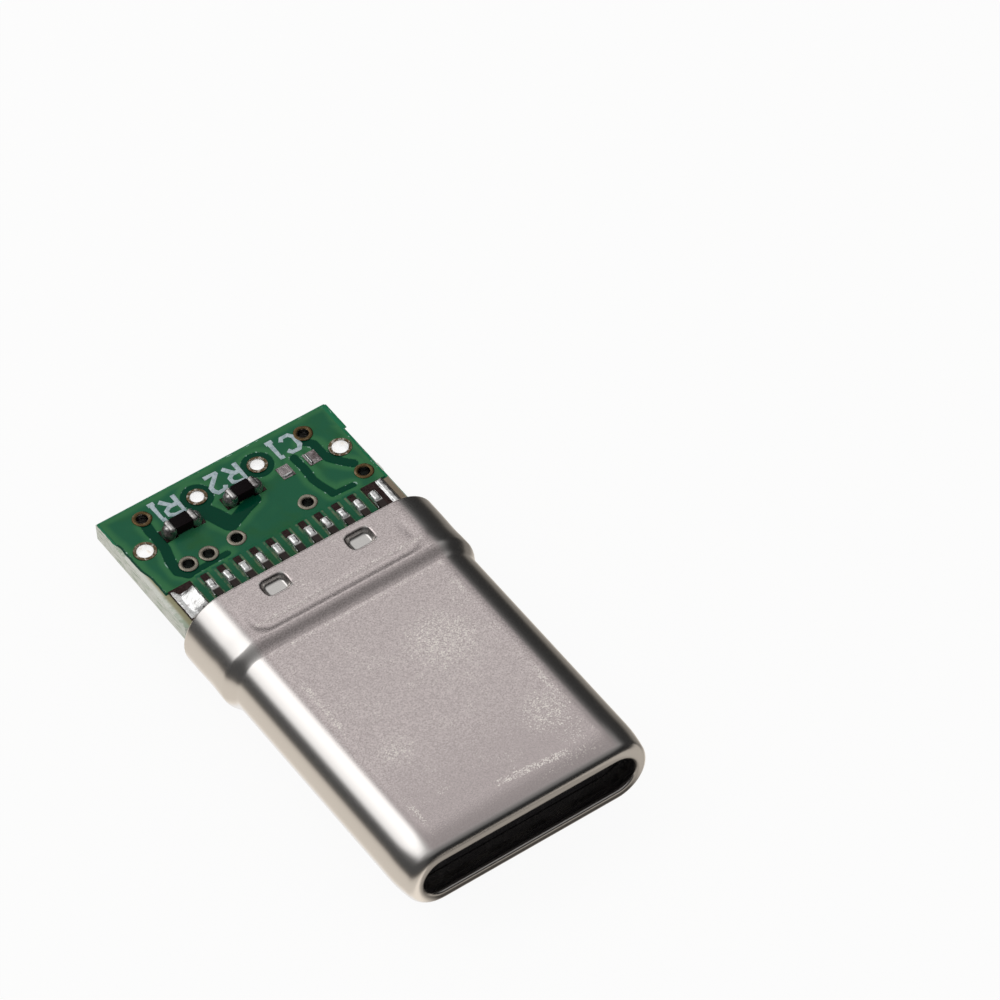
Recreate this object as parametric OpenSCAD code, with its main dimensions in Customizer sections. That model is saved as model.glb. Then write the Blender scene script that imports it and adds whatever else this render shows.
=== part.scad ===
// Plug-ended breakout board: a drawn and flared plug shell with its contact block,
// and a small four-terminal circuit board clamped between the two rows of contact tails.
// Sizes in millimetres. The mouth looks along -Y, the wire end along +Y, components face +Z.

/* [Plug shell] */
// Width of the plug barrel
barrel_w = 8.25; // [8.1:0.05:8.4]
// Height of the plug barrel
barrel_h = 2.4; // [2.3:0.05:2.6]
// Length of the straight barrel, from the mouth
barrel_l = 8.7; // [8.4:0.1:10]
// Thickness of the drawn sheet
sheet = 0.22; // [0.16:0.01:0.24]
// Outer rounding of the lip at the mouth
lip_r = 0.35; // [0.25:0.05:0.4]
// How far the lip turns in from the outside of the barrel
lip_in = 0.55; // [0.48:0.01:0.6]
// Step from the barrel out to the flared rear
flare_step = 0.2; // [0.12:0.02:0.3]
// Length of the slope between barrel and flare
flare_run = 0.55; // [0.4:0.05:0.8]
// Length of the flared rear
flare_l = 2; // [1.8:0.1:2.6]
// Size of a locking dent across the plug
dent_w = 0.86; // [0.7:0.02:1]
// Size of a locking dent along the plug
dent_l = 0.66; // [0.4:0.02:0.7]
// Depth of a locking dent
dent_depth = 0.12; // [0.06:0.01:0.16]
// Distance between the two dents of a face
dent_pitch = 2.9; // [2.4:0.1:3.6]
// Distance from the rear rim to the dents
dent_back = 0.6; // [0.5:0.05:0.7]

/* [Insulators] */
// Clearance between an insulator and the sheet around it
fit_gap = 0.03; // [0.02:0.01:0.06]
// Setback of the front housing behind the mouth
housing_back = 0.95; // [0.8:0.05:1.1]
// Length of the front housing
housing_l = 5.6; // [5.2:0.1:6]
// Wall of the front housing beside the slot
side_wall = 0.45; // [0.4:0.01:0.5]
// Height of the slot that takes the mating tongue
slot_h = 1; // [0.9:0.05:1.1]
// Lead-in at the mouth of the slot
lead_in = 0.1; // [0.05:0.01:0.15]
// How far a contact carrier reaches into each round end of the barrel
carrier_side = 0.375; // [0.3:0.025:0.45]
// Thickness of a contact carrier above the latch sheet
carrier_t = 0.7; // [0.6:0.02:0.76]
// Recess of the rear insert behind the rim
insert_back = 0.2; // [0.1:0.05:0.4]
// Length of the rear insert inside the flare
insert_l = 1.55; // [1.3:0.05:1.6]
// How far the insert's boss stands out of the rim
boss_out = 0.17; // [0.1:0.01:0.3]
// How far the boss reaches past the outer contacts
boss_side = 0.13; // [0.08:0.01:0.3]
// Height of the boss
boss_h = 1.5; // [1.3:0.05:1.7]

/* [Contacts and springs] */
// Pitch of the contacts at the mating slot
contact_pitch = 0.5; // [0.5:0.01:0.52]
// Pitch of the contact tails on the board
tail_pitch = 0.565; // [0.54:0.005:0.57]
// Width of a contact
contact_w = 0.22; // [0.18:0.01:0.24]
// Thickness of a contact
contact_t = 0.12; // [0.08:0.01:0.14]
// Height of a contact's touching point above the mid-plane
contact_z = 0.27; // [0.22:0.01:0.32]
// Distance from the housing's front to the contact tips
tip_back = 1.8; // [1.6:0.05:2]
// Length from a contact's tip to its touching point
touch_l = 0.5; // [0.3:0.05:0.7]
// Length from a contact's tip to the crown of its beam
crown_l = 2.5; // [2:0.05:3]
// Rise of a contact's tip over its touching point
tip_rise = 0.15; // [0.1:0.01:0.2]
// Length of a tail on the board
tail_l = 1.2; // [0.9:0.05:1.4]
// Clearance beside a contact in its channel
channel_gap = 0.02; // [0.01:0.005:0.03]
// Thickness of the latch sheet
latch_t = 0.16; // [0.12:0.02:0.2]
// Width of a latch arm
arm_w = 0.28; // [0.2:0.02:0.32]
// Clearance between the slot and a latch arm
arm_gap = 0.07; // [0.04:0.01:0.1]
// Distance from the housing's front to the latch arms
arm_back = 1.25; // [1:0.05:1.5]
// Length of a latch hook
hook_l = 0.7; // [0.5:0.05:0.9]
// Reach of a latch hook into the slot
hook_in = 0.2; // [0.1:0.02:0.3]
// Thickness of a shielding spring
spring_t = 0.08; // [0.06:0.01:0.1]
// Length of a shielding spring's band
band_l = 0.5; // [0.4:0.05:0.6]
// Distance from the housing's front to that band
band_back = 0.1; // [0.05:0.01:0.15]
// Length of a shielding spring finger
finger_l = 0.85; // [0.7:0.05:0.95]
// How far a finger's tip reaches into the slot
finger_in = 0.06; // [0.03:0.01:0.1]
// Width of a shielding spring finger
finger_w = 0.7; // [0.5:0.05:0.8]
// Pitch of the spring fingers
finger_pitch = 1.4; // [1.2:0.05:1.5]
// Clearance beside a spring finger in its window
finger_gap = 0.05; // [0.03:0.01:0.1]

/* [Circuit board] */
// Width of the board
board_w = 7.9; // [7.8:0.1:8.2]
// Length of the board
board_l = 5.05; // [5:0.05:6]
// Thickness of the board
board_t = 0.6; // [0.5:0.05:0.8]
// Clearance between the board and the insert's boss
board_gap = 0.03; // [0.01:0.01:0.06]
// Chamfer of the board's two front corners
board_chamfer = 0.2; // [0.1:0.05:0.4]
// How far the board's outline sits off the plug's middle
board_offset = -0.055; // [-0.1:0.005:0.1]
// Stub that the snapped rear tab of the panel left on the edge
tab_rear_out = 0.1; // [0.05:0.01:0.15]
// Length of the rear stub
tab_rear_l = 1.05; // [0.8:0.05:1.2]
// Distance from the wire end to the rear stub
tab_rear_back = 0.1; // [0.05:0.05:0.3]
// Stub that the snapped front tab of the panel left on the edge
tab_front_out = 0.05; // [0.03:0.01:0.15]
// Length of the front stub
tab_front_l = 0.4; // [0.3:0.05:0.7]
// Distance from the wire end to the front stub
tab_front_back = 2.85; // [2.7:0.05:3.3]
// Thickness of a copper pad
pad_t = 0.04; // [0.02:0.005:0.06]
// Width of a contact pad
pad_w = 0.32; // [0.3:0.01:0.34]
// Length of a contact pad
pad_l = 1.54; // [1.45:0.01:1.6]
// Margin between a row's wide end pad and the side of the board
end_pad_margin = 0.25; // [0.15:0.01:0.35]
// Width of an outer wire pad
power_pad_w = 1.44; // [1.3:0.02:1.5]
// Width of an inner wire pad
data_pad_w = 0.96; // [0.8:0.02:1.1]
// Length of a wire pad
wire_pad_l = 1.88; // [1.6:0.02:2]
// Margin between the wire pads and the wire end
wire_pad_margin = 0.22; // [0.15:0.01:0.35]
// Margin between an outer wire pad and the side of the board
power_pad_margin = 0.29; // [0.25:0.01:0.35]
// Distance from the middle to an inner wire pad
data_pad_x = 0.95; // [0.9:0.01:1.05]

/* [Wire holes and vias] */
// Diameter of an outer wire hole
power_hole_d = 0.52; // [0.45:0.01:0.6]
// Distance from the side of the board to an outer wire hole
power_hole_side = 0.56; // [0.52:0.01:0.7]
// Distance from the wire end to an outer wire hole
power_hole_back = 1.74; // [1.6:0.01:1.8]
// Diameter of an inner wire hole
data_hole_d = 0.44; // [0.35:0.01:0.5]
// Distance from the middle to an inner wire hole
data_hole_x = 1.05; // [0.95:0.01:1.1]
// Distance from the wire end to an inner wire hole
data_hole_back = 0.87; // [0.75:0.01:1]
// Diameter of a via
via_d = 0.36; // [0.2:0.01:0.4]
// Thickness of the plating in a via
plating = 0.03; // [0.02:0.005:0.05]
// Width of the ring around a hole
ring_w = 0.09; // [0.06:0.01:0.11]
// Distance from the side of the board to the via of an outer wire pad
stitch_side = 1.15; // [1.05:0.01:1.25]
// Distance from the wire end to the via of an outer wire pad
stitch_back = 0.64; // [0.55:0.01:0.75]
// Distance from the wire end to the row of vias
via_back = 2.9; // [2.6:0.01:3]
// Distance from the side of the board to the last via of that row
via_side = 0.52; // [0.48:0.01:0.6]

/* [Resistors and solder] */
// Length of a chip resistor
chip_l = 1; // [0.9:0.02:1.1]
// Width of a chip resistor
chip_w = 0.5; // [0.45:0.01:0.55]
// Height of a chip resistor
chip_h = 0.35; // [0.3:0.01:0.4]
// Length of a resistor's end cap
chip_cap = 0.24; // [0.15:0.01:0.3]
// Thickness of an end cap over the body
cap_t = 0.02; // [0.01:0.005:0.04]
// Distance from the wire end to the resistors
chip_back = 1.6; // [1.5:0.01:1.7]
// Distance from the side of the board to the first resistor and to the empty capacitor pads
chip_side = 1.92; // [1.85:0.01:2]
// Place of the second resistor across the board
chip_2_x = 0.08; // [0:0.01:0.15]
// Length of a component pad beyond the component's end
toe = 0.17; // [0.1:0.01:0.2]
// Height of a solder fillet at a resistor's end
fillet_h = 0.24; // [0.15:0.01:0.28]
// Height of a solder wedge behind a tail
wedge_h = 0.1; // [0.05:0.01:0.12]
// Radius of the solder bead on the ground end of a row
bead_r = 0.4; // [0.3:0.01:0.42]
// Height of that bead
bead_h = 0.3; // [0.2:0.01:0.34]
// Radius of the solder bead on the other end of a row
small_bead_r = 0.3; // [0.2:0.01:0.32]
// Height of that bead
small_bead_h = 0.18; // [0.14:0.01:0.22]

/* [Hidden] */
$fn = 64;
contacts = 12;
half_h = barrel_h / 2;
cap_x = (barrel_w - barrel_h) / 2;
flare_h = barrel_h + 2 * flare_step;
flare_y = barrel_l + flare_run;
shell_l = flare_y + flare_l;
bore_r = half_h - sheet;
flare_r = half_h + flare_step;
flare_bore_r = flare_r - sheet;
lip_edge = 0.1;
rim_ease = 0.04;

housing_r = bore_r - fit_gap;
housing_y1 = housing_back + housing_l;
slot_w = 2 * (cap_x + housing_r - side_wall);
carrier_w = 2 * (cap_x + carrier_side);
insert_r = flare_bore_r - fit_gap;
insert_y1 = shell_l - insert_back;
insert_y0 = insert_y1 - insert_l;
boss_y1 = shell_l + boss_out;
carrier_l = insert_y0 - housing_y1;
dent_y = shell_l - dent_back;

board_y0 = boss_y1 + board_gap;
board_y1 = board_y0 + board_l;
overall_l = board_y1;
top_z = board_t / 2;
pad_z = top_z + pad_t;
pad_y0 = board_y0 + 0.05;
tail_y1 = board_y0 + tail_l;

tip_y = housing_back + tip_back;
touch_y = tip_y + touch_l;
crown_y = tip_y + crown_l;
root_y = housing_y1 + 0.5;
fan_y = insert_y0 - 0.1;
crown_z = slot_h / 2 + 0.05;
arm_x = slot_w / 2 + arm_gap;
arm_y = housing_back + arm_back;
band_y = housing_back + band_back;
finger_y = band_y + band_l;
spring_w = 3 * finger_pitch + finger_w + 0.5;

via_r = via_d / 2 + plating;
power_pad_x = board_w / 2 - power_pad_margin - power_pad_w / 2;
power_hole_x = board_w / 2 - power_hole_side;
stitch_x = board_w / 2 - stitch_side;
chip_1_x = chip_side - board_w / 2;
spare_x = board_w / 2 - chip_side;
via_spots = [[-2.63, 0], [-1.95, 0.02], [-0.97, 0], [1.44, 0.08], [board_w / 2 - via_side, 0.05]];

steel = [0.66, 0.63, 0.61];
black = [0.06, 0.06, 0.07];
mask = [0.06, 0.34, 0.2];
tin = [0.78, 0.78, 0.76];
gold = [0.85, 0.7, 0.35];

// Plug coordinates, from the middle of the mouth, to the part's frame
module seat() {
  translate([0, -overall_l / 2, flare_h / 2]) children();
}

// Other face of the plug
module turned() {
  mirror([0, 0, 1]) children();
}

// Profile in radius and length, carried round the plug's long oval
module round_plug() {
  for (s = [-1, 1]) {
    translate([s * cap_x, 0, 0])
      rotate([-90, 0, 0])
        rotate([0, 0, -90 * s])
          rotate_extrude(angle = 180) children();
    rotate([0, -90 * s, 0])
      linear_extrude(height = 2 * cap_x, center = true) children();
  }
}

// Box between two corners
module block(a, b) {
  translate(a) cube(b - a);
}

// Profile in length and height, drawn out to a width about a place across the plug
module strip(x, w) {
  translate([x - w / 2, 0, 0])
    rotate([90, 0, 90])
      linear_extrude(height = w) children();
}

function ease(t) = (1 - cos(180 * t)) / 2;

function place(i, pitch) = (i - (contacts - 1) / 2) * pitch;

// Plug shell

module shell_profile() {
  step = 10;
  polygon(concat(
    [for (i = [0:6]) [half_h - lip_r * (1 - cos(15 * i)), lip_r * (1 - sin(15 * i))]],
    [for (i = [0:4]) [half_h - lip_in + lip_edge * (1 - sin(22.5 * i)), lip_edge * (1 - cos(22.5 * i))]],
    [[half_h - lip_in, sheet], [half_h - lip_in + 0.08, sheet + 0.08], [bore_r, lip_r + 0.2]],
    [for (i = [0:step]) [bore_r + flare_step * ease(i / step), barrel_l + flare_run * i / step]],
    [[flare_bore_r, shell_l], [flare_r - rim_ease, shell_l], [flare_r, shell_l - rim_ease]],
    [for (i = [step:-1:0]) [half_h + flare_step * ease(i / step), barrel_l + flare_run * i / step]]
  ));
}

// Pointed trough with round ends, its rim at the origin
module dent() {
  over = 0.06;
  run = (dent_w - dent_l) / 2;
  for (s = [-1, 1])
    translate([s * run, 0, 0])
      rotate([0, 0, -90 * s])
        rotate_extrude(angle = 180)
          polygon([[0, -dent_depth], [dent_l / 2, 0], [dent_l / 2, over], [0, over]]);
  strip(0, 2 * run)
    polygon([[0, -dent_depth], [dent_l / 2, 0], [dent_l / 2, over], [-dent_l / 2, over], [-dent_l / 2, 0]]);
}

module dents(r) {
  for (s = [-1, 1], face = [0, 1])
    mirror([0, 0, face])
      translate([s * dent_pitch / 2, dent_y, r]) dent();
}

module plug_shell() {
  color(steel) seat()
    difference() {
      union() {
        round_plug() shell_profile();
        dents(flare_bore_r);
      }
      dents(flare_r);
    }
}

// Insulators

module oval_block(r, y0, y1) {
  round_plug() translate([0, y0]) square([r, y1 - y0]);
}

module front_housing() {
  over = 0.5;
  color(black) seat()
    difference() {
      oval_block(housing_r, housing_back, housing_y1);
      block([-slot_w / 2, housing_back - over, -slot_h / 2], [slot_w / 2, housing_y1 + over, slot_h / 2]);
      strip(0, slot_w)
        polygon([
          [housing_back - lead_in, slot_h / 2 + 2 * lead_in], [housing_back + lead_in, slot_h / 2],
          [housing_back + lead_in, -slot_h / 2], [housing_back - lead_in, -slot_h / 2 - 2 * lead_in]
        ]);
      block([-barrel_w / 2, arm_y - 0.2, -latch_t], [barrel_w / 2, housing_y1 + over, latch_t]);
      for (face = [0, 1]) mirror([0, 0, face]) {
        for (i = [0:contacts - 1])
          translate([place(i, contact_pitch), 0, 0])
            block(
              [-contact_w / 2 - channel_gap, tip_y - 0.1, 0],
              [contact_w / 2 + channel_gap, housing_y1 + over, crown_z + contact_t + 0.08]
            );
        block([-spring_w / 2, band_y, housing_r - spring_t], [spring_w / 2, finger_y, housing_r + over]);
        for (i = [-1.5:1.5])
          translate([i * finger_pitch, finger_y, 0])
            block(
              [-finger_w / 2 - finger_gap, 0, 0],
              [finger_w / 2 + finger_gap, finger_l + 2 * finger_gap, housing_r + over]
            );
      }
    }
}

module carrier() {
  over = 0.5;
  difference() {
    block(
      [-carrier_w / 2, housing_y1, latch_t / 2],
      [carrier_w / 2, insert_y0, latch_t / 2 + carrier_t]
    );
    for (i = [0:contacts - 1]) {
      translate([0, 0, pad_z])
        linear_extrude(height = contact_t + channel_gap)
          contact_plan(i, channel_gap, housing_y1 - over, insert_y0 + over);
    }
  }
}

module upper_carrier() {
  color(black) seat() carrier();
}

module lower_carrier() {
  color(black) seat() turned() carrier();
}

module rear_insert() {
  over = 0.5;
  boss_w = 2 * (place(contacts - 1, tail_pitch) + contact_w / 2 + boss_side);
  color(black) seat()
    difference() {
      union() {
        oval_block(insert_r, insert_y0, insert_y1);
        block([-boss_w / 2, insert_y1 - insert_back, -boss_h / 2], [boss_w / 2, boss_y1, boss_h / 2]);
      }
      dents(flare_bore_r);
      for (face = [0, 1], i = [0:contacts - 1])
        mirror([0, 0, face])
          translate([place(i, tail_pitch), 0, 0])
            block(
              [-contact_w / 2 - channel_gap, insert_y0 - over, pad_z],
              [contact_w / 2 + channel_gap, boss_y1 + over, pad_z + contact_t + channel_gap]
            );
    }
}

// Contacts and springs

// Plan of one contact, fanning from the mating pitch to the tail pitch
module contact_plan(i, gap, y0, y1) {
  w = contact_w / 2 + gap;
  a = place(i, contact_pitch);
  b = place(i, tail_pitch);
  polygon([
    [a - w, y0], [a + w, y0], [a + w, root_y], [b + w, fan_y],
    [b + w, y1], [b - w, y1], [b - w, fan_y], [a - w, root_y]
  ]);
}

module contact(i) {
  translate([0, 0, pad_z])
    linear_extrude(height = contact_t) contact_plan(i, 0, housing_y1, tail_y1);
  strip(place(i, contact_pitch), contact_w)
    polygon([
      [tip_y, contact_z + tip_rise], [touch_y, contact_z], [crown_y, crown_z], [housing_y1, pad_z],
      [housing_y1, pad_z + contact_t], [crown_y, crown_z + contact_t],
      [touch_y, contact_z + contact_t], [tip_y, contact_z + contact_t + tip_rise]
    ]);
}

module upper_contact(i) {
  color(gold) seat() contact(i);
}

module lower_contact(i) {
  color(gold) seat() turned() contact(i);
}

module latch_sheet() {
  hook_x = slot_w / 2 - hook_in;
  out_x = arm_x + arm_w;
  color(steel) seat()
    translate([0, 0, -latch_t / 2])
      linear_extrude(height = latch_t)
        polygon(concat(
          [[-arm_x, housing_y1], [-arm_x, arm_y + hook_l], [-hook_x, arm_y + 0.65 * hook_l]],
          [[-hook_x, arm_y + 0.35 * hook_l], [-arm_x, arm_y], [-out_x, arm_y], [-out_x, insert_y0]],
          [[out_x, insert_y0], [out_x, arm_y], [arm_x, arm_y], [hook_x, arm_y + 0.35 * hook_l]],
          [[hook_x, arm_y + 0.65 * hook_l], [arm_x, arm_y + hook_l], [arm_x, housing_y1]]
        ));
}

module spring() {
  z = housing_r;
  tip = slot_h / 2 - finger_in;
  low_y = finger_y + 0.82 * finger_l;
  end_y = finger_y + finger_l;
  block([-spring_w / 2, band_y, z - spring_t], [spring_w / 2, finger_y, z]);
  for (i = [-1.5:1.5])
    strip(i * finger_pitch, finger_w)
      polygon([
        [finger_y, z - spring_t], [finger_y + spring_t, z - spring_t], [low_y, tip],
        [end_y, tip + spring_t], [end_y, tip + 2 * spring_t],
        [low_y, tip + spring_t], [finger_y + 1.2 * spring_t, z], [finger_y, z]
      ]);
}

module upper_spring() {
  color(steel) seat() spring();
}

module lower_spring() {
  color(steel) seat() turned() spring();
}

// Circuit board

// Point on the board, from the wire end
module on_board(x, back) {
  translate([x, board_y1 - back, 0]) children();
}

module through(d) {
  translate([0, 0, -board_t]) cylinder(d = d, h = 2 * board_t);
}

module circuit_board() {
  w = board_w / 2;
  stubs = [[tab_front_back, tab_front_l, tab_front_out], [tab_rear_back, tab_rear_l, tab_rear_out]];
  color(mask) seat()
    difference() {
      translate([board_offset, 0, -top_z])
        linear_extrude(height = board_t)
          polygon([
            [-w + board_chamfer, board_y0], [w - board_chamfer, board_y0], [w, board_y0 + board_chamfer],
            for (t = stubs, i = [0:3])
              [w + [0, t[2], t[2], 0][i], board_y1 - t[0] - [t[1], t[1] - t[2], t[2], 0][i]],
            [w, board_y1], [-w, board_y1], [-w, board_y0 + board_chamfer]
          ]);
      for (s = [-1, 1]) {
        on_board(s * power_hole_x, power_hole_back) through(power_hole_d);
        on_board(s * data_hole_x, data_hole_back) through(data_hole_d);
        on_board(s * stitch_x, stitch_back) through(2 * via_r);
      }
      for (p = via_spots) on_board(p[0], via_back + p[1]) through(2 * via_r);
    }
}

module contact_pads() {
  end_x = place(contacts - 1, tail_pitch) - pad_w / 2;
  for (i = [1:contacts - 2])
    translate([place(i, tail_pitch), 0, 0])
      block([-pad_w / 2, pad_y0, top_z], [pad_w / 2, pad_y0 + pad_l, pad_z]);
  for (s = [0, 1])
    mirror([s, 0, 0])
      block([end_x, pad_y0 + board_chamfer, top_z], [board_w / 2 - end_pad_margin, pad_y0 + pad_l, pad_z]);
}

module upper_pads() {
  color(tin) seat() contact_pads();
}

module lower_pads() {
  color(tin) seat() turned() contact_pads();
}

// Ring of copper on each face round a hole
module rings(d) {
  for (face = [0, 1])
    mirror([0, 0, face])
      translate([0, 0, top_z]) cylinder(d = d + 2 * ring_w, h = pad_t);
}

// The same with the barrel that joins the two faces
module plated(d) {
  rings(d);
  translate([0, 0, -top_z]) cylinder(d = d + 2 * plating, h = board_t);
}

module terminal(pad_x, pad_w, hole_x, hole_back, d, stitch) {
  difference() {
    union() {
      on_board(pad_x, wire_pad_margin)
        block([-pad_w / 2, -wire_pad_l, -pad_z], [pad_w / 2, 0, -top_z]);
      on_board(hole_x, hole_back) rings(d);
      if (stitch) on_board(sign(pad_x) * stitch_x, stitch_back) plated(via_d);
    }
    on_board(hole_x, hole_back) through(d);
    if (stitch) on_board(sign(pad_x) * stitch_x, stitch_back) through(via_d);
  }
}

module terminal_g() {
  color(tin) seat()
    terminal(-power_pad_x, power_pad_w, -power_hole_x, power_hole_back, power_hole_d, true);
}

module terminal_data_plus() {
  color(tin) seat()
    terminal(-data_pad_x, data_pad_w, -data_hole_x, data_hole_back, data_hole_d, false);
}

module terminal_data_minus() {
  color(tin) seat()
    terminal(data_pad_x, data_pad_w, data_hole_x, data_hole_back, data_hole_d, false);
}

module terminal_v() {
  color(tin) seat()
    terminal(power_pad_x, power_pad_w, power_hole_x, power_hole_back, power_hole_d, true);
}

module vias() {
  color(gold) seat()
    for (p = via_spots)
      on_board(p[0], via_back + p[1])
        difference() {
          plated(via_d);
          through(via_d);
        }
}

// Resistors and solder

module chip_pads(x) {
  on_board(x, chip_back)
    for (s = [0, 1])
      mirror([s, 0, 0])
        block([chip_l / 2 - chip_cap, -chip_w / 2, top_z], [chip_l / 2 + toe, chip_w / 2, pad_z]);
}

module chip_body(x) {
  on_board(x, chip_back)
    block(
      [-chip_l / 2 + cap_t, -chip_w / 2 + cap_t, pad_z + cap_t],
      [chip_l / 2 - cap_t, chip_w / 2 - cap_t, pad_z + chip_h - cap_t]
    );
}

module chip_caps(x) {
  on_board(x, chip_back)
    for (s = [0, 1])
      mirror([s, 0, 0])
        difference() {
          block([chip_l / 2 - chip_cap, -chip_w / 2, pad_z], [chip_l / 2, chip_w / 2, pad_z + chip_h]);
          block(
            [0, -chip_w / 2 + cap_t, pad_z + cap_t],
            [chip_l / 2 - cap_t, chip_w / 2 - cap_t, pad_z + chip_h - cap_t]
          );
        }
}

module chip_solder(x) {
  on_board(x, chip_back)
    for (s = [0, 1])
      mirror([s, 0, 0])
        translate([0, chip_w / 2, 0])
          rotate([90, 0, 0])
            linear_extrude(height = chip_w)
              polygon([
                [chip_l / 2, pad_z], [chip_l / 2 + toe, pad_z],
                [chip_l / 2 + 0.6 * toe, pad_z + 0.25 * fillet_h],
                [chip_l / 2 + 0.3 * toe, pad_z + 0.6 * fillet_h], [chip_l / 2, pad_z + fillet_h]
              ]);
}

module resistor_1_pads() {
  color(tin) seat() chip_pads(chip_1_x);
}

module resistor_1_body() {
  color(black) seat() chip_body(chip_1_x);
}

module resistor_1_caps() {
  color(tin) seat() chip_caps(chip_1_x);
}

module resistor_1_solder() {
  color(tin) seat() chip_solder(chip_1_x);
}

module resistor_2_pads() {
  color(tin) seat() chip_pads(chip_2_x);
}

module resistor_2_body() {
  color(black) seat() chip_body(chip_2_x);
}

module resistor_2_caps() {
  color(tin) seat() chip_caps(chip_2_x);
}

module resistor_2_solder() {
  color(tin) seat() chip_solder(chip_2_x);
}

module spare_pads() {
  color(tin) seat() chip_pads(spare_x);
}

// Low round cap of solder, a slice of a ball
module bead(r, h) {
  ball = (r * r + h * h) / (2 * h);
  rotate_extrude()
    polygon(concat(
      [[0, 0]],
      [for (i = [0:8]) let (a = asin(r / ball) * (1 - i / 8)) [ball * sin(a), h - ball * (1 - cos(a))]]
    ));
}

module spare_solder() {
  r = 0.17;
  color(tin) seat()
    on_board(spare_x - chip_l / 2 + (chip_cap - toe) / 2, chip_back)
      translate([0, 0, pad_z]) bead(r, 0.7 * r);
}

// Solder round the tails: a fillet along each side and a wedge behind the tip
module tail_solder() {
  side = (pad_w - contact_w) / 2;
  y0 = board_y0 + 0.4;
  y1 = pad_y0 + pad_l - 0.06;
  for (i = [0:contacts - 1])
    translate([place(i, tail_pitch), 0, 0]) {
      strip(0, contact_w + side)
        polygon([
          [tail_y1, pad_z], [y1, pad_z],
          [(tail_y1 + y1) / 2, pad_z + 0.4 * wedge_h], [tail_y1, pad_z + wedge_h]
        ]);
      for (s = [0, 1])
        mirror([s, 0, 0])
          translate([0, tail_y1, 0])
            rotate([90, 0, 0])
              linear_extrude(height = tail_y1 - y0)
                polygon([
                  [contact_w / 2, pad_z], [contact_w / 2 + side, pad_z], [contact_w / 2, pad_z + wedge_h]
                ]);
    }
}

// Bead on the wide pad at each end of the row, lapped round the tail
module end_beads() {
  w = contact_w / 2;
  for (i = [0, 1])
    mirror([1 - i, 0, 0])
      translate([place(contacts - 1, tail_pitch), tail_y1, pad_z])
        difference() {
          translate([2 * w, -bead_r, 0])
            if (i == 0) bead(bead_r, bead_h);
            else bead(small_bead_r, small_bead_h);
          block([-w, -2 * tail_l, -contact_t], [w, 0, contact_t]);
        }
}

module upper_solder() {
  color(tin) seat() {
    tail_solder();
    end_beads();
  }
}

module lower_solder() {
  color(tin) seat() turned() {
    tail_solder();
    end_beads();
  }
}

plug_shell();
front_housing();
upper_spring();
lower_spring();
latch_sheet();
upper_carrier();
lower_carrier();
for (i = [1:contacts]) {
  upper_contact(i - 1);
  lower_contact(i - 1);
}
rear_insert();
circuit_board();
upper_pads();
lower_pads();
terminal_g();
terminal_data_plus();
terminal_data_minus();
terminal_v();
vias();
resistor_1_pads();
resistor_1_body();
resistor_1_caps();
resistor_1_solder();
resistor_2_pads();
resistor_2_body();
resistor_2_caps();
resistor_2_solder();
spare_pads();
spare_solder();
upper_solder();
lower_solder();
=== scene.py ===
import bpy
import bmesh
import math
import random
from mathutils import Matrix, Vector, noise


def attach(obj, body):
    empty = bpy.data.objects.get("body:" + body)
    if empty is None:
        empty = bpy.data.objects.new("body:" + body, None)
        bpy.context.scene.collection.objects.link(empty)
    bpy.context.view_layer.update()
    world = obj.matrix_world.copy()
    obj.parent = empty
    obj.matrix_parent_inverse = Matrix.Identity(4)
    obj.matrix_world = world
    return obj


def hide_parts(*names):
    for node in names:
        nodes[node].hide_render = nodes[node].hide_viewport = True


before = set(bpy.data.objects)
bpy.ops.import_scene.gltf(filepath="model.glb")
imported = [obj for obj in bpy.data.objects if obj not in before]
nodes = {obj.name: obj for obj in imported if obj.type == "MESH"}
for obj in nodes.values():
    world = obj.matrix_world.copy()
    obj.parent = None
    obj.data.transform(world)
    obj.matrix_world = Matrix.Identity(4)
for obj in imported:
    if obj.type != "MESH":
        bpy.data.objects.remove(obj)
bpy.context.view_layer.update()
mm = 0.001
plugFrame = {"mouthBack": 8.25, "midHeight": 1.4}  # pieces are shaped in mm from the mouth's middle
print("frame loaded:", len(nodes), "nodes")


# working helpers

def clearSelection():
    if bpy.context.object and bpy.context.object.mode != "OBJECT":
        bpy.ops.object.mode_set(mode="OBJECT")
    bpy.ops.object.select_all(action="DESELECT")


def pick(*pieces):
    clearSelection()
    for piece in pieces:
        piece.select_set(True)
    bpy.context.view_layer.objects.active = pieces[0]


def openMesh(piece):
    bpy.ops.object.mode_set(mode="EDIT")
    bpy.ops.mesh.select_all(action="SELECT")
    return bmesh.from_edit_mesh(piece.data)


def faceOutwards():
    bpy.ops.mesh.select_all(action="SELECT")
    bpy.ops.mesh.normals_make_consistent(inside=False)


def smoothFaces(piece, angle):
    pick(piece)
    bpy.ops.object.shade_smooth_by_angle(angle=math.radians(angle))


def thicken(piece, thickness):
    wall = piece.modifiers.new("wall", "SOLIDIFY")
    wall.thickness = thickness
    wall.offset = -1


def easeEdges(piece, width, segments):
    edges = piece.modifiers.new("edges", "BEVEL")
    edges.width = width
    edges.segments = segments


def applyAll(piece):
    pick(piece)
    for modifier in list(piece.modifiers):
        bpy.ops.object.modifier_apply(modifier=modifier.name)


def applyPlace():
    bpy.ops.object.transform_apply(location=True, rotation=True, scale=True)


def seatPiece(pieces, name, material, slot, *replaced):
    pick(*pieces)
    if len(pieces) > 1:
        bpy.ops.object.join()
    piece = pieces[0]
    piece.name = name
    piece.data.name = name
    pick(piece)
    piece.scale = (mm, mm, mm)
    piece.location = (0, -plugFrame["mouthBack"] * mm, plugFrame["midHeight"] * mm)
    applyPlace()
    piece.data.materials.clear()
    piece.data.materials.append(material)
    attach(piece, "root")
    if replaced:
        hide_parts(*replaced)


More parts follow.
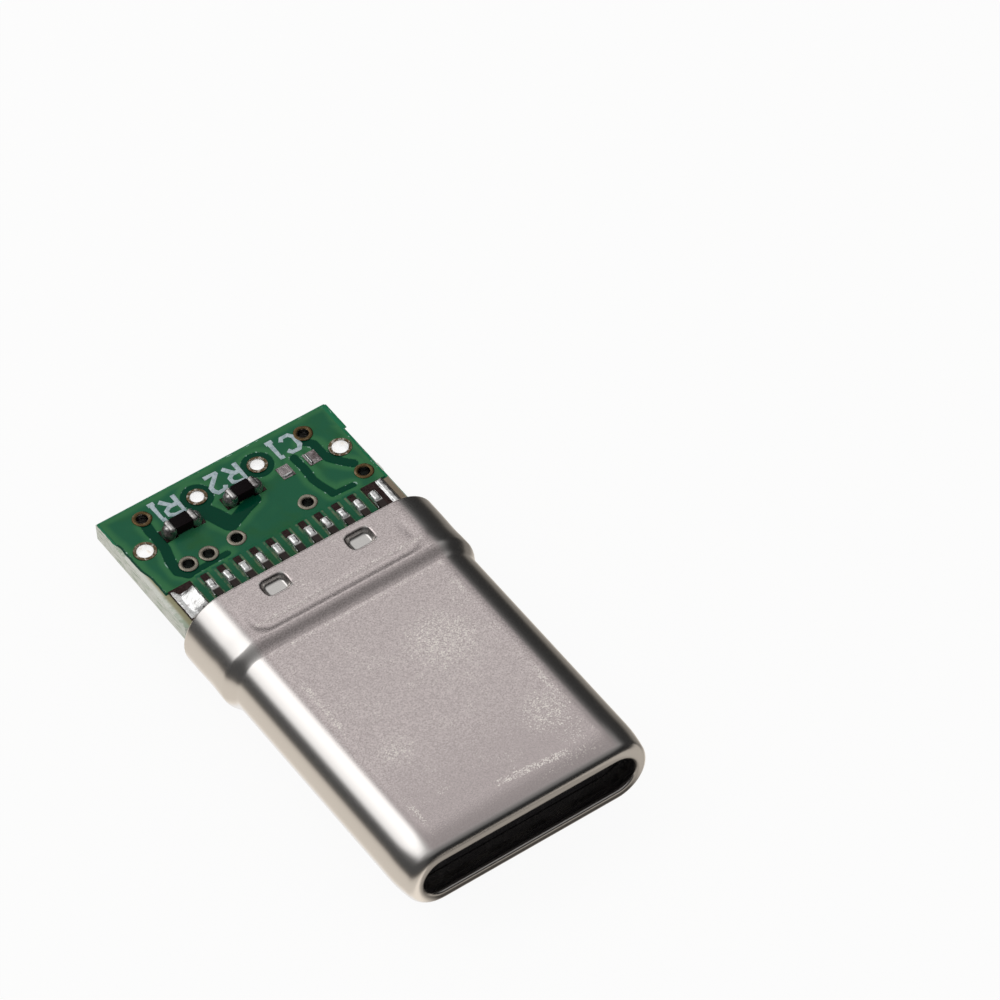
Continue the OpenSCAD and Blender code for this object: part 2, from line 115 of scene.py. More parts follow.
def smoothBetween(low, high, value):
    t = max(0.0, min(1.0, (value - low) / (high - low)))
    return t * t * (3 - 2 * t)


def uneven(x, y, z):
    return noise.noise(Vector((x, y, z)))


def cornerAway(dx, dy):  # distance outside two edges, less than zero inside
    return math.hypot(max(dx, 0.0), max(dy, 0.0)) + min(max(dx, dy), 0.0)


def boxAway(x, y, x0, y0, x1, y1):
    return cornerAway(max(x0 - x, x - x1), max(y0 - y, y - y1))


def lineAway(x, y, points):
    best = 9.0
    for (ax, ay), (bx, by) in zip(points, points[1:]):
        dx, dy = bx - ax, by - ay
        t = max(0.0, min(1.0, ((x - ax) * dx + (y - ay) * dy) / (dx * dx + dy * dy)))
        best = min(best, math.hypot(x - ax - dx * t, y - ay - dy * t))
    return best


# camera

cameraSpec = {
    "place": (-0.0532943, -0.0944129, 0.1300954), "turn": (41.33704, 2.52895, -34.45824),
    "lens": 211.952, "sensor": 36, "nearest": 0.01,
}
clearSelection()
bpy.ops.object.camera_add(
    location=cameraSpec["place"], rotation=[math.radians(a) for a in cameraSpec["turn"]])
camera = bpy.context.object
camera.name = "photoCamera"
camera.data.lens = cameraSpec["lens"]
camera.data.sensor_width = cameraSpec["sensor"]
camera.data.clip_start = cameraSpec["nearest"]
bpy.context.scene.camera = camera
bpy.context.scene.view_settings.view_transform = "Standard"
print("camera set")


# node helpers

def fill(node, **values):
    for name, value in values.items():
        node.inputs[name.replace("_", " ")].default_value = value
    return node


class Wiring:
    def __init__(self, tree):
        self.tree = tree

    def add(self, kind, **settings):
        count = len(self.tree.nodes)
        node = self.tree.nodes.new(kind)
        node.location = (count % 10 * 200 - 2400, 600 - count // 10 * 280)  # rows of ten
        for key, value in settings.items():
            setattr(node, key, value)
        return node

    def link(self, output, socket):
        self.tree.links.new(output, socket)

    def feed(self, value, socket):  # a colour, a number or another node's output
        if isinstance(value, tuple):
            socket.default_value = (*value, 1)
        elif isinstance(value, (int, float)):
            socket.default_value = value
        elif value is not None:
            self.link(value, socket)

    def math(self, operation, first, second=None):
        node = self.add("ShaderNodeMath", operation=operation)
        self.feed(first, node.inputs[0])
        self.feed(second, node.inputs[1])
        return node.outputs[0]

    def times(self, result, *others):
        for other in others:
            result = self.math("MULTIPLY", result, other)
        return result

    def most(self, result, *others):
        for other in others:
            result = self.math("MAXIMUM", result, other)
        return result

    def plus(self, first, second):
        return self.math("ADD", first, second)

    def less(self, first, second):
        return self.math("SUBTRACT", first, second)

    def away(self, value, centre, half=0.0):
        gap = self.math("ABSOLUTE", self.less(value, centre))
        return self.less(gap, half) if half else gap

    def ramp(self, value, low, high, toLow=0.0, toHigh=1.0):
        node = self.add("ShaderNodeMapRange", interpolation_type="SMOOTHSTEP")
        self.link(value, node.inputs["Value"])
        fill(node, From_Min=low, From_Max=high, To_Min=toLow, To_Max=toHigh)
        return node.outputs["Result"]

    def blend(self, factor, first, second):
        node = self.add("ShaderNodeMix", data_type="RGBA")
        self.link(factor, node.inputs["Factor"])
        self.feed(first, node.inputs[6])
        self.feed(second, node.inputs[7])
        return node.outputs[2]

    def noise(self, scale, detail=2.0, roughness=0.5, vector=None):
        node = self.add("ShaderNodeTexNoise")
        self.link(vector or self.vector, node.inputs["Vector"])
        self.feed(scale, node.inputs["Scale"])
        fill(node, Detail=detail, Roughness=roughness)
        return node.outputs["Fac"]

    def split(self, vector):
        node = self.add("ShaderNodeSeparateXYZ")
        self.link(vector, node.inputs["Vector"])
        return node.outputs["X"], node.outputs["Y"], node.outputs["Z"]


# shared effects: each reads millimetres

class Effect(Wiring):
    def __init__(self, name, outputs, **inputs):
        super().__init__(bpy.data.node_groups.new(name, "ShaderNodeTree"))
        face = self.tree.interface
        face.new_socket("Vector", in_out="INPUT", socket_type="NodeSocketVector")
        for label, value in inputs.items():
            socket = face.new_socket(label, in_out="INPUT", socket_type="NodeSocketFloat")
            socket.default_value = value
        for label in outputs:
            face.new_socket(label, in_out="OUTPUT", socket_type="NodeSocketFloat")
        self.given = self.add("NodeGroupInput").outputs
        self.out = self.add("NodeGroupOutput").inputs
        self.vector = self.given["Vector"]


def makeBlastedGrain():
    spec = {"cellScale": 1.45, "patchScale": 0.7, "patchEdge": (0.46, 0.68, 0.12, 1.0),
            "share": 0.6, "paintedGlintEdge": (0.0, 0.3), "cellHeight": 0.25, "rough": (0.3, 0.7, -0.05, 0.05)}
    grain = Effect("blastedGrain", ("Height", "Fleck", "Rough"), Grain=14.0, Flecks=0.5, Streak=0.0)
    given, out = grain.given, grain.out
    fine = grain.noise(given["Grain"], 3.0, 0.6)
    cells = grain.add("ShaderNodeTexVoronoi")
    grain.link(grain.vector, cells.inputs["Vector"])
    grain.link(grain.times(given["Grain"], spec["cellScale"]), cells.inputs["Scale"])
    chance = grain.add("ShaderNodeSeparateColor")
    grain.link(cells.outputs["Color"], chance.inputs["Color"])
    patch = grain.noise(spec["patchScale"], 3.0, 0.6)
    # painted glints: a share of the grain cells, more in patches and along the Streak input, becomes a bright
    # glint mask
    often = grain.times(grain.ramp(patch, *spec["patchEdge"]), given["Flecks"])
    often = grain.most(often, given["Streak"])
    lowest = grain.less(1.0, grain.times(often, spec["share"]))
    bright = grain.ramp(grain.less(chance.outputs["Red"], lowest), *spec["paintedGlintEdge"])
    height = grain.plus(fine, grain.times(chance.outputs["Green"], spec["cellHeight"]))
    grain.link(height, out["Height"])
    grain.link(bright, out["Fleck"])
    grain.link(grain.ramp(fine, *spec["rough"]), out["Rough"])
    return grain.tree


def makeSolderFlow():
    spec = {"blots": 2.6, "cleanest": 0.85, "share": 0.6, "stainEdge": (-0.05, 0.12),
            "rough": (0.35, 0.65, 0.0, 0.16)}
    flow = Effect("solderFlow", ("Height", "Stain", "Rough"), Grime=0.3, Crinkle=7.0)
    given, out = flow.given, flow.out
    blots = flow.noise(spec["blots"], 4.0, 0.65)
    start = flow.less(spec["cleanest"], flow.times(given["Grime"], spec["share"]))
    flow.link(flow.noise(given["Crinkle"], 3.0, 0.55), out["Height"])
    flow.link(flow.ramp(flow.less(blots, start), *spec["stainEdge"]), out["Stain"])
    flow.link(flow.ramp(blots, *spec["rough"]), out["Rough"])
    return flow.tree


blastedGrain = makeBlastedGrain()
solderFlow = makeSolderFlow()


# finishes: a range in a spec is where a mask starts and ends, then its two levels if not 0 and 1

class Finish(Wiring):
    wallTop = (0.3, 0.315)  # where a plated wall meets the board's face, from the mid-plane

    def __init__(self, name, roughness, metallic=0.0, specular=0.5):
        self.material = bpy.data.materials.new(name)
        self.material.use_nodes = True
        super().__init__(self.material.node_tree)
        self.roughness = roughness
        self.shader = self.tree.nodes["Principled BSDF"]
        fill(self.shader, Roughness=roughness, Metallic=metallic, Specular_IOR_Level=specular)
        scale = self.add("ShaderNodeMapping")
        scale.inputs["Scale"].default_value = (1 / mm, 1 / mm, 1 / mm)
        self.link(self.add("ShaderNodeTexCoord").outputs["Object"], scale.inputs["Vector"])
        self.vector = scale.outputs["Vector"]
        self.across, self.along, height = self.split(self.vector)
        self.rise = self.less(height, plugFrame["midHeight"])
        self.off = self.math("ABSOLUTE", self.rise)  # distance from the plug's mid-plane

    def effect(self, group, **values):
        node = fill(self.add("ShaderNodeGroup", node_tree=group), **values)
        self.link(self.vector, node.inputs["Vector"])
        return node

    def to(self, output, socket):
        self.link(output, self.shader.inputs[socket])

    def bump(self, height, depth):
        node = fill(self.add("ShaderNodeBump"), Strength=1.0, Distance=depth * mm)
        self.link(height, node.inputs["Height"])
        self.to(node.outputs["Normal"], "Normal")

    def dress(self, colour, effect, depth):
        self.to(colour, "Base Color")
        self.to(self.plus(effect.outputs["Rough"], self.roughness), "Roughness")
        self.bump(effect.outputs["Height"], depth)
        return self.material

    # painted shade: the inside of a plated hole is painted dark
    def overHoleShade(self, holeShade, face):  # dark inside a plated hole
        return self.blend(self.ramp(self.off, *self.wallTop), holeShade, face)


# two tones, mixed by one output of an effect
twoTones = {
    "springSteel": {
        "effect": blastedGrain, "values": {"Grain": 22.0, "Flecks": 0.1}, "mask": "Height", "depth": 0.002,
        "main": (0.66, 0.65, 0.63), "worn": (0.5, 0.49, 0.47), "roughness": 0.25},
    "solderBright": {
        "effect": solderFlow, "values": {"Grime": 0.3, "Crinkle": 5.0}, "mask": "Stain", "depth": 0.008,
        "main": (0.86, 0.86, 0.85), "worn": (0.5, 0.47, 0.45), "roughness": 0.16},
    "tailSolder": {
        "effect": solderFlow, "values": {"Grime": 0.42, "Crinkle": 6.5}, "mask": "Stain", "depth": 0.02,
        "main": (0.84, 0.84, 0.83), "worn": (0.30, 0.27, 0.26), "roughness": 0.17},
    "contactPad": {
        "effect": solderFlow, "values": {"Grime": 0.5, "Crinkle": 10.0}, "mask": "Height", "depth": 0.02,
        "main": (0.018, 0.009, 0.009), "worn": (0.085, 0.055, 0.052), "roughness": 0.22},
    # painted light: the sleeves' tin is near white, so the wire holes read white
    "holeTin": {
        "effect": solderFlow, "values": {"Grime": 0.15, "Crinkle": 5.0}, "mask": "Stain", "depth": 0.004,
        "main": (0.98, 0.975, 0.97), "worn": (0.86, 0.84, 0.80), "roughness": 0.1},
    "chipGlaze": {
        "effect": blastedGrain, "values": {"Grain": 16.0, "Flecks": 0.0}, "mask": "Height", "depth": 0.004,
        "main": (0.002, 0.001, 0.0015), "worn": (0.006, 0.003, 0.004), "roughness": 0.35,
        "metallic": 0.0, "specular": 0.07},
    # painted shade: chipTin is the solder made darker for the chip ends
    "chipTin": {
        "effect": solderFlow, "values": {"Grime": 0.5, "Crinkle": 7.0}, "mask": "Stain", "depth": 0.012,
        "main": (0.56, 0.54, 0.53), "worn": (0.22, 0.20, 0.20), "roughness": 0.22},
}


def makeTwoTone(name):
    spec = twoTones[name]
    finish = Finish(name, spec["roughness"], spec.get("metallic", 1.0), spec.get("specular", 0.5))
    part = finish.effect(spec["effect"], **spec["values"])
    colour = finish.blend(part.outputs[spec["mask"]], spec["main"], spec["worn"])
    return finish.dress(colour, part, spec["depth"])


def makeShellSteel():
    spec = {
        "nickel": (0.83, 0.735, 0.72), "pittedAndShaded": (0.585, 0.515, 0.505), "polish": (0.80, 0.77, 0.745),
        "paintedGlint": (1.0, 0.93, 0.87), "roughness": 0.16, "roundRoughness": 0.25, "depth": 0.0034,
        "grain": 22.0, "paintedGlints": 0.42, "scatter": 0.12,
        "flatSide": (3.02, 2.88), "flatFront": (-8.05, -7.6),
        "tintSide": (3.3, 3.02), "tintFront": (-8.2, -7.95),
        "dentAcross": (1.45, 0.36), "dentAlong": (2.4, 0.27), "dentEdge": (0.0, 0.07), "outer": (1.03, 1.1),
        "slope": (0.86, 0.34), "slopeEdge": (0.0, 0.1), "shade": (-4.0, -7.6, 0.0, 0.75),
        "speckScale": 21.0, "speckEdge": (0.28, 0.72), "breakScale": 5.0, "breakEdge": (0.3, 0.62, 0.35, 1.0),
        "rimAside": 2.8, "rimEdge": (0.18, 0.05, 0.0, 0.3), "patchEdge": (0.16, 0.04), "patchEnd": (0.5, 0.0),
        # brighter patches of the rims, as painted glints: across, along, half length
        "rims": [(-2.8, -2.1, 0.9), (-2.8, -6.8, 0.2), (2.8, -5.0, 0.4), (2.8, -0.6, 0.1)],
        # crest and foot of the slope: along, faded and full distance, share of painted glint grains
        "bands": [(1.4, 0.14, 0.03, 0.75), (0.4, 0.09, 0.02, 0.7)],
        "streakTilt": 0.1, "streakAlong": -7.26, "streakEdge": (0.18, 0.06),
        "streakAcross": 0.75, "streakEnd": (1.5, 0.8, 0.0, 1.15),
        # across, along, full and faded radius, share of painted glint grains
        "clusters": [(1.3, -2.0, 0.3, 1.9, 1.0), (2.2, -5.9, 0.2, 1.4, 0.9),
                     (-2.0, -4.6, 0.1, 1.0, 0.8), (-1.7, -3.0, 0.1, 1.2, 0.4)],
    }
    finish = Finish("shellSteel", spec["roughness"], 1.0)
    across, along, away, ramp, times = finish.across, finish.along, finish.away, finish.ramp, finish.times
    aside = finish.math("ABSOLUTE", across)
    # rounds, lip, dents and the inside are polished
    dent = finish.most(away(aside, *spec["dentAcross"]), away(along, *spec["dentAlong"]))
    bare = times(ramp(dent, *spec["dentEdge"]), ramp(finish.off, *spec["outer"]))
    flat = times(ramp(aside, *spec["flatSide"]), ramp(along, *spec["flatFront"]), bare)
    tinted = times(ramp(aside, *spec["tintSide"]), ramp(along, *spec["tintFront"]), bare)
    # painted glints: bright grains gather in clusters, along the rims of the flats and in one streak behind
    # the lip
    glintGathered = ramp(away(aside, spec["rimAside"]), *spec["rimEdge"])
    for x, y, reach in spec["rims"]:
        patch = times(ramp(away(across, x), *spec["patchEdge"]),
                      ramp(away(along, y, reach), *spec["patchEnd"]))
        glintGathered = finish.most(glintGathered, patch)
    for y, faded, full, share in spec["bands"]:
        glintGathered = finish.most(glintGathered, ramp(away(along, y), faded, full, 0.0, share))
    tilt = finish.plus(along, times(across, spec["streakTilt"]))
    streak = times(ramp(away(tilt, spec["streakAlong"]), *spec["streakEdge"]),
                   ramp(away(across, spec["streakAcross"]), *spec["streakEnd"]))
    glintGathered = finish.most(glintGathered, streak)
    spot = finish.add("ShaderNodeCombineXYZ")
    finish.link(across, spot.inputs["X"])
    finish.link(along, spot.inputs["Y"])
    for x, y, full, faded, share in spec["clusters"]:
        gap = finish.add("ShaderNodeVectorMath", operation="DISTANCE")
        finish.link(spot.outputs[0], gap.inputs[0])
        gap.inputs[1].default_value = (x, y, 0)
        glintGathered = finish.most(glintGathered, ramp(gap.outputs["Value"], faded, full, 0.0, share))
    broken = ramp(finish.noise(spec["breakScale"], 3.0, 0.65), *spec["breakEdge"])
    grain = finish.effect(blastedGrain, Grain=spec["grain"], Flecks=spec["paintedGlints"])
    finish.link(times(glintGathered, broken), grain.inputs["Streak"])
    speck = ramp(finish.noise(spec["speckScale"], 2.0, 0.6), *spec["speckEdge"])
    base = finish.blend(speck, spec["pittedAndShaded"], spec["nickel"])
    # painted shade: the flats darken towards the mouth
    base = finish.blend(ramp(along, *spec["shade"]), base, spec["pittedAndShaded"])
    base = finish.blend(tinted, spec["polish"], base)
    slope = ramp(away(along, *spec["slope"]), *spec["slopeEdge"])
    # painted glints: the glint grains lighten the base colour and are a little less metallic
    paintedGlint = times(grain.outputs["Fleck"], flat, slope)
    finish.to(finish.blend(paintedGlint, base, spec["paintedGlint"]), "Base Color")
    finish.to(finish.less(1.0, times(paintedGlint, spec["scatter"])), "Metallic")  # grains scatter a little light
    rough = ramp(flat, 0.0, 1.0, spec["roundRoughness"], spec["roughness"])
    finish.to(finish.plus(times(grain.outputs["Rough"], flat), rough), "Roughness")
    finish.bump(times(grain.outputs["Height"], flat), spec["depth"])
    return finish.material


def makeBlackMoulding():
    spec = {"black": (0.011, 0.010, 0.012), "worn": (0.03, 0.028, 0.03), "roughness": 0.28, "specular": 0.3,
            "grain": 9.0, "cloud": 2.2, "cloudEdge": (0.5, 0.75), "depth": 0.003}
    finish = Finish("blackMoulding", spec["roughness"], 0.0, spec["specular"])
    grain = finish.effect(blastedGrain, Grain=spec["grain"], Flecks=0.0)
    cloud = finish.ramp(finish.noise(spec["cloud"], 4.0), *spec["cloudEdge"])
    return finish.dress(finish.blend(cloud, spec["black"], spec["worn"]), grain, spec["depth"])


def makeContactMetal():
    spec = {"tin": (0.74, 0.73, 0.71), "dull": (0.42, 0.38, 0.33), "shellRimShade": (0.05, 0.04, 0.038),
            "roughness": 0.2, "shellRimShadePlace": 3.46, "shellRimShadeEdge": (0.5, 0.58), "depth": 0.006}
    finish = Finish("contactMetal", spec["roughness"], 1.0)
    flow = finish.effect(solderFlow, Grime=0.45, Crinkle=9.0)
    clean = finish.blend(flow.outputs["Stain"], spec["tin"], spec["dull"])
    # painted shade: the tails turn dark by the shell's rim
    away = finish.ramp(finish.away(finish.along, spec["shellRimShadePlace"]), *spec["shellRimShadeEdge"])
    return finish.dress(finish.blend(away, spec["shellRimShade"], clean), flow, spec["depth"])


def makeTinnedPad():
    spec = {"tin": (0.46, 0.41, 0.41), "grime": (0.18, 0.145, 0.145), "holeShade": (0.03, 0.022, 0.015),
            "roughness": 0.26, "depth": 0.035}
    finish = Finish("tinnedPad", spec["roughness"], 1.0)
    flow = finish.effect(solderFlow, Grime=0.5, Crinkle=9.0)
    face = finish.blend(flow.outputs["Stain"], spec["tin"], spec["grime"])
    # painted shade inside the holes
    return finish.dress(finish.overHoleShade(spec["holeShade"], face), flow, spec["depth"])


def makeTerminalTin():
    spec = {"tin": (0.56, 0.52, 0.51), "grime": (0.09, 0.065, 0.06), "ring": (0.20, 0.14, 0.08),
            "pale": (0.66, 0.60, 0.52), "holeShade": (0.012, 0.010, 0.007), "roughness": 0.3,
            "paleEdge": (0.50, 0.62), "upperSide": (-0.1, 0.1), "depth": 0.03}
    finish = Finish("terminalTin", spec["roughness"], 1.0)
    flow = finish.effect(solderFlow, Grime=0.72, Crinkle=8.0)
    under = finish.blend(flow.outputs["Stain"], spec["tin"], spec["grime"])
    # pale specks on the ring: bare tin, and partly painted glints
    ring = finish.blend(finish.ramp(flow.outputs["Height"], *spec["paleEdge"]), spec["ring"], spec["pale"])
    face = finish.blend(finish.ramp(finish.rise, *spec["upperSide"]), under, ring)
    # painted shade inside the holes
    return finish.dress(finish.overHoleShade(spec["holeShade"], face), flow, spec["depth"])


def makeViaCopper():
    spec = {"ring": (0.18, 0.115, 0.052), "pale": (0.46, 0.37, 0.25), "tinned": (0.42, 0.38, 0.31),
            "holeShade": (0.006, 0.010, 0.007), "roughness": 0.35,
            "tinnedAcross": (2.4, 2.0), "tinnedAlong": (6.4, 6.0), "depth": 0.01}
    finish = Finish("viaCopper", spec["roughness"], 1.0)
    flow = finish.effect(solderFlow, Grime=0.4, Crinkle=8.0)
    ring = finish.blend(flow.outputs["Stain"], spec["ring"], spec["pale"])
    tinned = finish.times(finish.ramp(finish.across, *spec["tinnedAcross"]),
                          finish.ramp(finish.along, *spec["tinnedAlong"]))
    ring = finish.blend(tinned, ring, spec["tinned"])  # the row by the tails took more tin
    # painted shade inside the holes
    return finish.dress(finish.overHoleShade(spec["holeShade"], ring), flow, spec["depth"])


def makeMaskGreen():
    spec = {
        "overCopper": (0.018, 0.120, 0.060), "bare": (0.0, 0.050, 0.025), "warm": (0.024, 0.118, 0.040),
        "thin": (0.042, 0.175, 0.070), "edge": (0.020, 0.175, 0.080), "glint": (0.34, 0.52, 0.44),
        "selvage": (0.16, 0.20, 0.12), "roughness": 0.14, "specular": 0.09, "tintScale": 0.9,
        "tintEdge": (0.45, 0.75), "smoothest": 0.1, "rippleRough": 0.1, "rippleScale": 5.0, "depth": 0.008,
        # heights from the mid-plane
        "raised": (0.314, 0.324), "thinned": (0.334, 0.326),
        "stepFoot": (0.314, 0.317), "stepTop": (0.326, 0.321), "glintScale": 4.2, "glintEdge": (0.56, 0.66),
        "middle": -0.055, "sideEdge": 3.85, "endEdge": 8.16, "edgeFade": (0.0, 0.05),
        "halfPitch": 0.2825, "padSide": 0.165, "sideFade": (0.05, 0.015), "padAlong": (4.1, 0.62),
        "alongFade": (0.04, 0.0), "lineScale": 5.5, "lineEdge": (0.36, 0.6, 0.1, 0.9),
    }
    finish = Finish("maskGreen", spec["roughness"], 0.0, spec["specular"])
    across, along, off, ramp, blend = finish.across, finish.along, finish.off, finish.ramp, finish.blend
    tint = ramp(finish.noise(spec["tintScale"], 3.0), *spec["tintEdge"])
    copper = blend(tint, spec["overCopper"], spec["warm"])
    copper = blend(ramp(off, *spec["thinned"]), copper, spec["thin"])
    face = blend(ramp(off, *spec["raised"]), spec["bare"], copper)
    rim = finish.most(finish.less(finish.away(across, spec["middle"]), spec["sideEdge"]),
                      finish.less(along, spec["endEdge"]))
    face = blend(ramp(rim, *spec["edgeFade"]), face, spec["edge"])
    # pale line on the mask along both sides of each contact pad
    middle = finish.less(spec["halfPitch"], finish.math("PINGPONG", across, spec["halfPitch"]))
    beside = finish.times(ramp(finish.away(middle, spec["padSide"]), *spec["sideFade"]),
                          ramp(finish.away(along, *spec["padAlong"]), *spec["alongFade"]),
                          ramp(finish.noise(spec["lineScale"], 3.0), *spec["lineEdge"]))
    face = blend(beside, face, spec["selvage"])
    # broken glints where the mask steps down into a channel
    glint = finish.times(ramp(off, *spec["stepFoot"]), ramp(off, *spec["stepTop"]),
                         ramp(finish.noise(spec["glintScale"], 4.0, 0.7), *spec["glintEdge"]))
    finish.to(blend(glint, face, spec["glint"]), "Base Color")
    ripple = finish.noise(spec["rippleScale"], 3.0)
    finish.to(finish.plus(finish.times(ripple, spec["rippleRough"]), spec["smoothest"]), "Roughness")
    finish.bump(ripple, spec["depth"])
    return finish.material


def makeFibreBoard():
    spec = {"wall": (0.76, 0.77, 0.70), "streak": (0.42, 0.50, 0.38), "face": (0.36, 0.34, 0.20),
            "brown": (0.24, 0.19, 0.13), "roughness": 0.6, "plies": (2.2, 2.2, 16.0),
            "streakEdge": (0.45, 0.68), "onFace": (0.292, 0.299), "leftEdge": (-3.92, -3.8),
            "rightBrown": (3.5, 3.7), "snapped": (3.87, 3.92), "depth": 0.03}
    finish = Finish("fibreBoard", spec["roughness"])
    across, ramp, blend = finish.across, finish.ramp, finish.blend
    stretch = finish.add("ShaderNodeMapping")
    stretch.inputs["Scale"].default_value = spec["plies"]  # glass plies lie flat
    finish.link(finish.vector, stretch.inputs["Vector"])
    plies = finish.noise(1.0, 4.0, 0.6, stretch.outputs["Vector"])
    wall = blend(ramp(plies, *spec["streakEdge"]), spec["wall"], spec["streak"])
    face = blend(ramp(across, *spec["leftEdge"]), wall, spec["face"])
    face = blend(ramp(across, *spec["rightBrown"]), face, spec["brown"])
    face = blend(ramp(across, *spec["snapped"]), face, spec["wall"])  # snapped stubs
    finish.to(blend(ramp(finish.off, *spec["onFace"]), wall, face), "Base Color")
    finish.bump(plies, spec["depth"])
    return finish.material


def makeMarkInk():
    spec = {"ink": (0.50, 0.59, 0.63), "thin": (0.33, 0.43, 0.46), "roughness": 0.5,
            "speck": 9.0, "thinEdge": (0.4, 0.65), "depth": 0.006}
    finish = Finish("markInk", spec["roughness"])
    speck = finish.noise(spec["speck"], 3.0, 0.6)
    thin = finish.ramp(speck, *spec["thinEdge"])
    finish.to(finish.blend(thin, spec["ink"], spec["thin"]), "Base Color")
    finish.bump(speck, spec["depth"])
    return finish.material


shellSteel = makeShellSteel()
blackMoulding = makeBlackMoulding()
contactMetal = makeContactMetal()
tinnedPad = makeTinnedPad()
terminalTin = makeTerminalTin()
viaCopper = makeViaCopper()
maskGreen = makeMaskGreen()
fibreBoard = makeFibreBoard()
markInk = makeMarkInk()
springSteel, solderBright, tailSolder, contactPad, holeTin, chipGlaze, chipTin = map(makeTwoTone, twoTones)
print("finishes made")


# plug shell: one ring of the oval, drawn along the sheet's profile and back inside

shellSpec = {
    "halfHeight": 1.2, "capX": 2.925, "sheet": 0.22, "lipRadius": 0.33, "lipReach": 0.55, "lipEdge": 0.08,
    "taperFrom": 1.15, "taperTurn": 11.0, "barrelLength": 8.7, "flareStep": 0.2, "flareRun": 0.55,
    "length": 11.25, "rimEase": 0.04,
    "dentWidth": 0.86, "dentLength": 0.66, "dentDepth": 0.2, "dentInside": 0.62, "dentPitch": 2.9,
    "dentPlace": 10.65, "endRadius": 0.24, "dentWall": 0.14, "dentRim": 0.02, "dentMargin": 0.1,
    "groove": 0.03, "groovePlace": 9.46, "grooveWidth": 0.2, "grooveSide": 2.78, "grooveTurn": 0.5,
    "grooveFade": (9.8, 10.8), "grooveLost": 0.8,
    # rings along the sheet, in mm from the mouth
    "barrelRings": (8.5, 8.1, 7.4, 6.2, 5.0, 3.8, 2.6, 1.8, 1.4), "boreRings": (0.55, 1.5, 5.0),
    "lipRings": ((0.0, 0.2), (0.06, 0.28)), "grooveRing": 9.85, "flareSteps": 14, "taperSteps": 6,
    "lipSteps": 10, "edgeSteps": 5, "capSteps": 26, "fineStep": 0.035, "wideStep": 0.08,
    "rearStep": 0.1, "flatStep": 0.12, "grooveStep": 0.04, "boreStep": 0.15, "boreDentStep": 0.06,
    "smoothAngle": 40,
}


def stepsBetween(start, end, step):
    count = max(1, round(abs(end - start) / step))
    return [start + (end - start) * i / count for i in range(count)]


def ovalOutline(spec):
    half = spec["dentWidth"] / 2 + spec["dentMargin"]
    middle = spec["dentPitch"] / 2
    stops = [-spec["capX"], -middle - half, -middle + half, middle - half, middle + half, spec["capX"]]
    across = []
    for i, (a, b) in enumerate(zip(stops, stops[1:])):
        across += stepsBetween(a, b, spec["fineStep"] if i % 2 else spec["wideStep"])
    outline = [(x, 0.0, 1.0) for x in across]  # place on the middle line, then the way out
    turn = [math.pi * i / spec["capSteps"] for i in range(spec["capSteps"])]
    outline += [(spec["capX"], math.sin(a), math.cos(a)) for a in turn]
    outline += [(-x, 0.0, -1.0) for x in across]
    outline += [(-spec["capX"], -math.sin(a), -math.cos(a)) for a in turn]
    return outline


def shellStations(spec):  # radius and place of each ring, from the rear rim to the mouth and back
    high, reach, step, run = spec["halfHeight"], spec["lipReach"], spec["flareStep"], spec["flareRun"]
    rear, flare, steps = spec["length"], spec["barrelLength"] + run, spec["flareSteps"]
    bore, rim = high - spec["sheet"], spec["rimEase"]
    nearDent = spec["dentPlace"] - spec["dentLength"] / 2 - spec["dentMargin"]
    pastDent = spec["dentPlace"] + spec["dentLength"] / 2 + spec["dentMargin"]
    eased = [(1 - math.cos(math.pi * i / steps)) / 2 for i in range(steps + 1)]
    stations = [(high + step - rim * (1 - math.cos(a)), rear - rim * (1 - math.sin(a)))
                for a in (math.pi / 2, math.pi / 3, math.pi / 6, 0)]
    flat = stepsBetween(rear - 2 * rim, pastDent, spec["rearStep"])
    flat += stepsBetween(pastDent, nearDent, spec["fineStep"])
    flat += stepsBetween(nearDent, spec["grooveRing"], spec["flatStep"])
    flat += stepsBetween(spec["grooveRing"], flare, spec["grooveStep"])
    stations += [(high + step, y) for y in flat]
    stations += [(high + step * eased[steps - i], flare - run * i / steps) for i in range(steps + 1)]
    stations += [(high, y) for y in spec["barrelRings"]]
    lip, turn, start = spec["lipRadius"], math.radians(spec["taperTurn"]), spec["taperFrom"]
    meet = lip * (1 - math.sin(turn))  # where the slight taper runs into the lip's round
    drop = math.tan(turn) * (start - meet) / 2
    count = spec["taperSteps"]
    stations += [(high - drop * (i / count) ** 2, start + (meet - start) * i / count) for i in range(count)]
    count = spec["lipSteps"]
    stations += [(high - drop - lip * (math.cos(turn) - math.cos(a)), lip * (1 - math.sin(a)))
                 for a in (turn + (math.pi / 2 - turn) * i / count for i in range(count + 1))]
    edge, count = spec["lipEdge"], spec["edgeSteps"]
    stations += [(high - reach + edge * (1 - math.sin(a)), edge * (1 - math.cos(a)))
                 for a in (math.pi / 2 * i / count for i in range(count + 1))]
    stations += [(high - reach + rise, y) for rise, y in spec["lipRings"]]
    stations += [(bore, y) for y in spec["boreRings"]]
    stations += [(bore + step * eased[i], spec["barrelLength"] + run * i / steps)
                 for i in range(0, steps + 1, 2)]
    inside = stepsBetween(flare + spec["dentMargin"], nearDent, spec["boreStep"])
    inside += stepsBetween(nearDent, pastDent, spec["boreDentStep"]) + [pastDent, rear]
    return stations + [(bore + step, y) for y in inside] + [stations[0]]


def dentDepth(spec, x, y):  # a rounded hollow with a level floor
    turn = spec["endRadius"]
    dx = abs(abs(x) - spec["dentPitch"] / 2) - spec["dentWidth"] / 2 + turn
    dy = abs(y - spec["dentPlace"]) - spec["dentLength"] / 2 + turn
    away = cornerAway(dx, dy) - turn
    return spec["dentDepth"] * smoothBetween(spec["dentRim"], -spec["dentWall"], away)


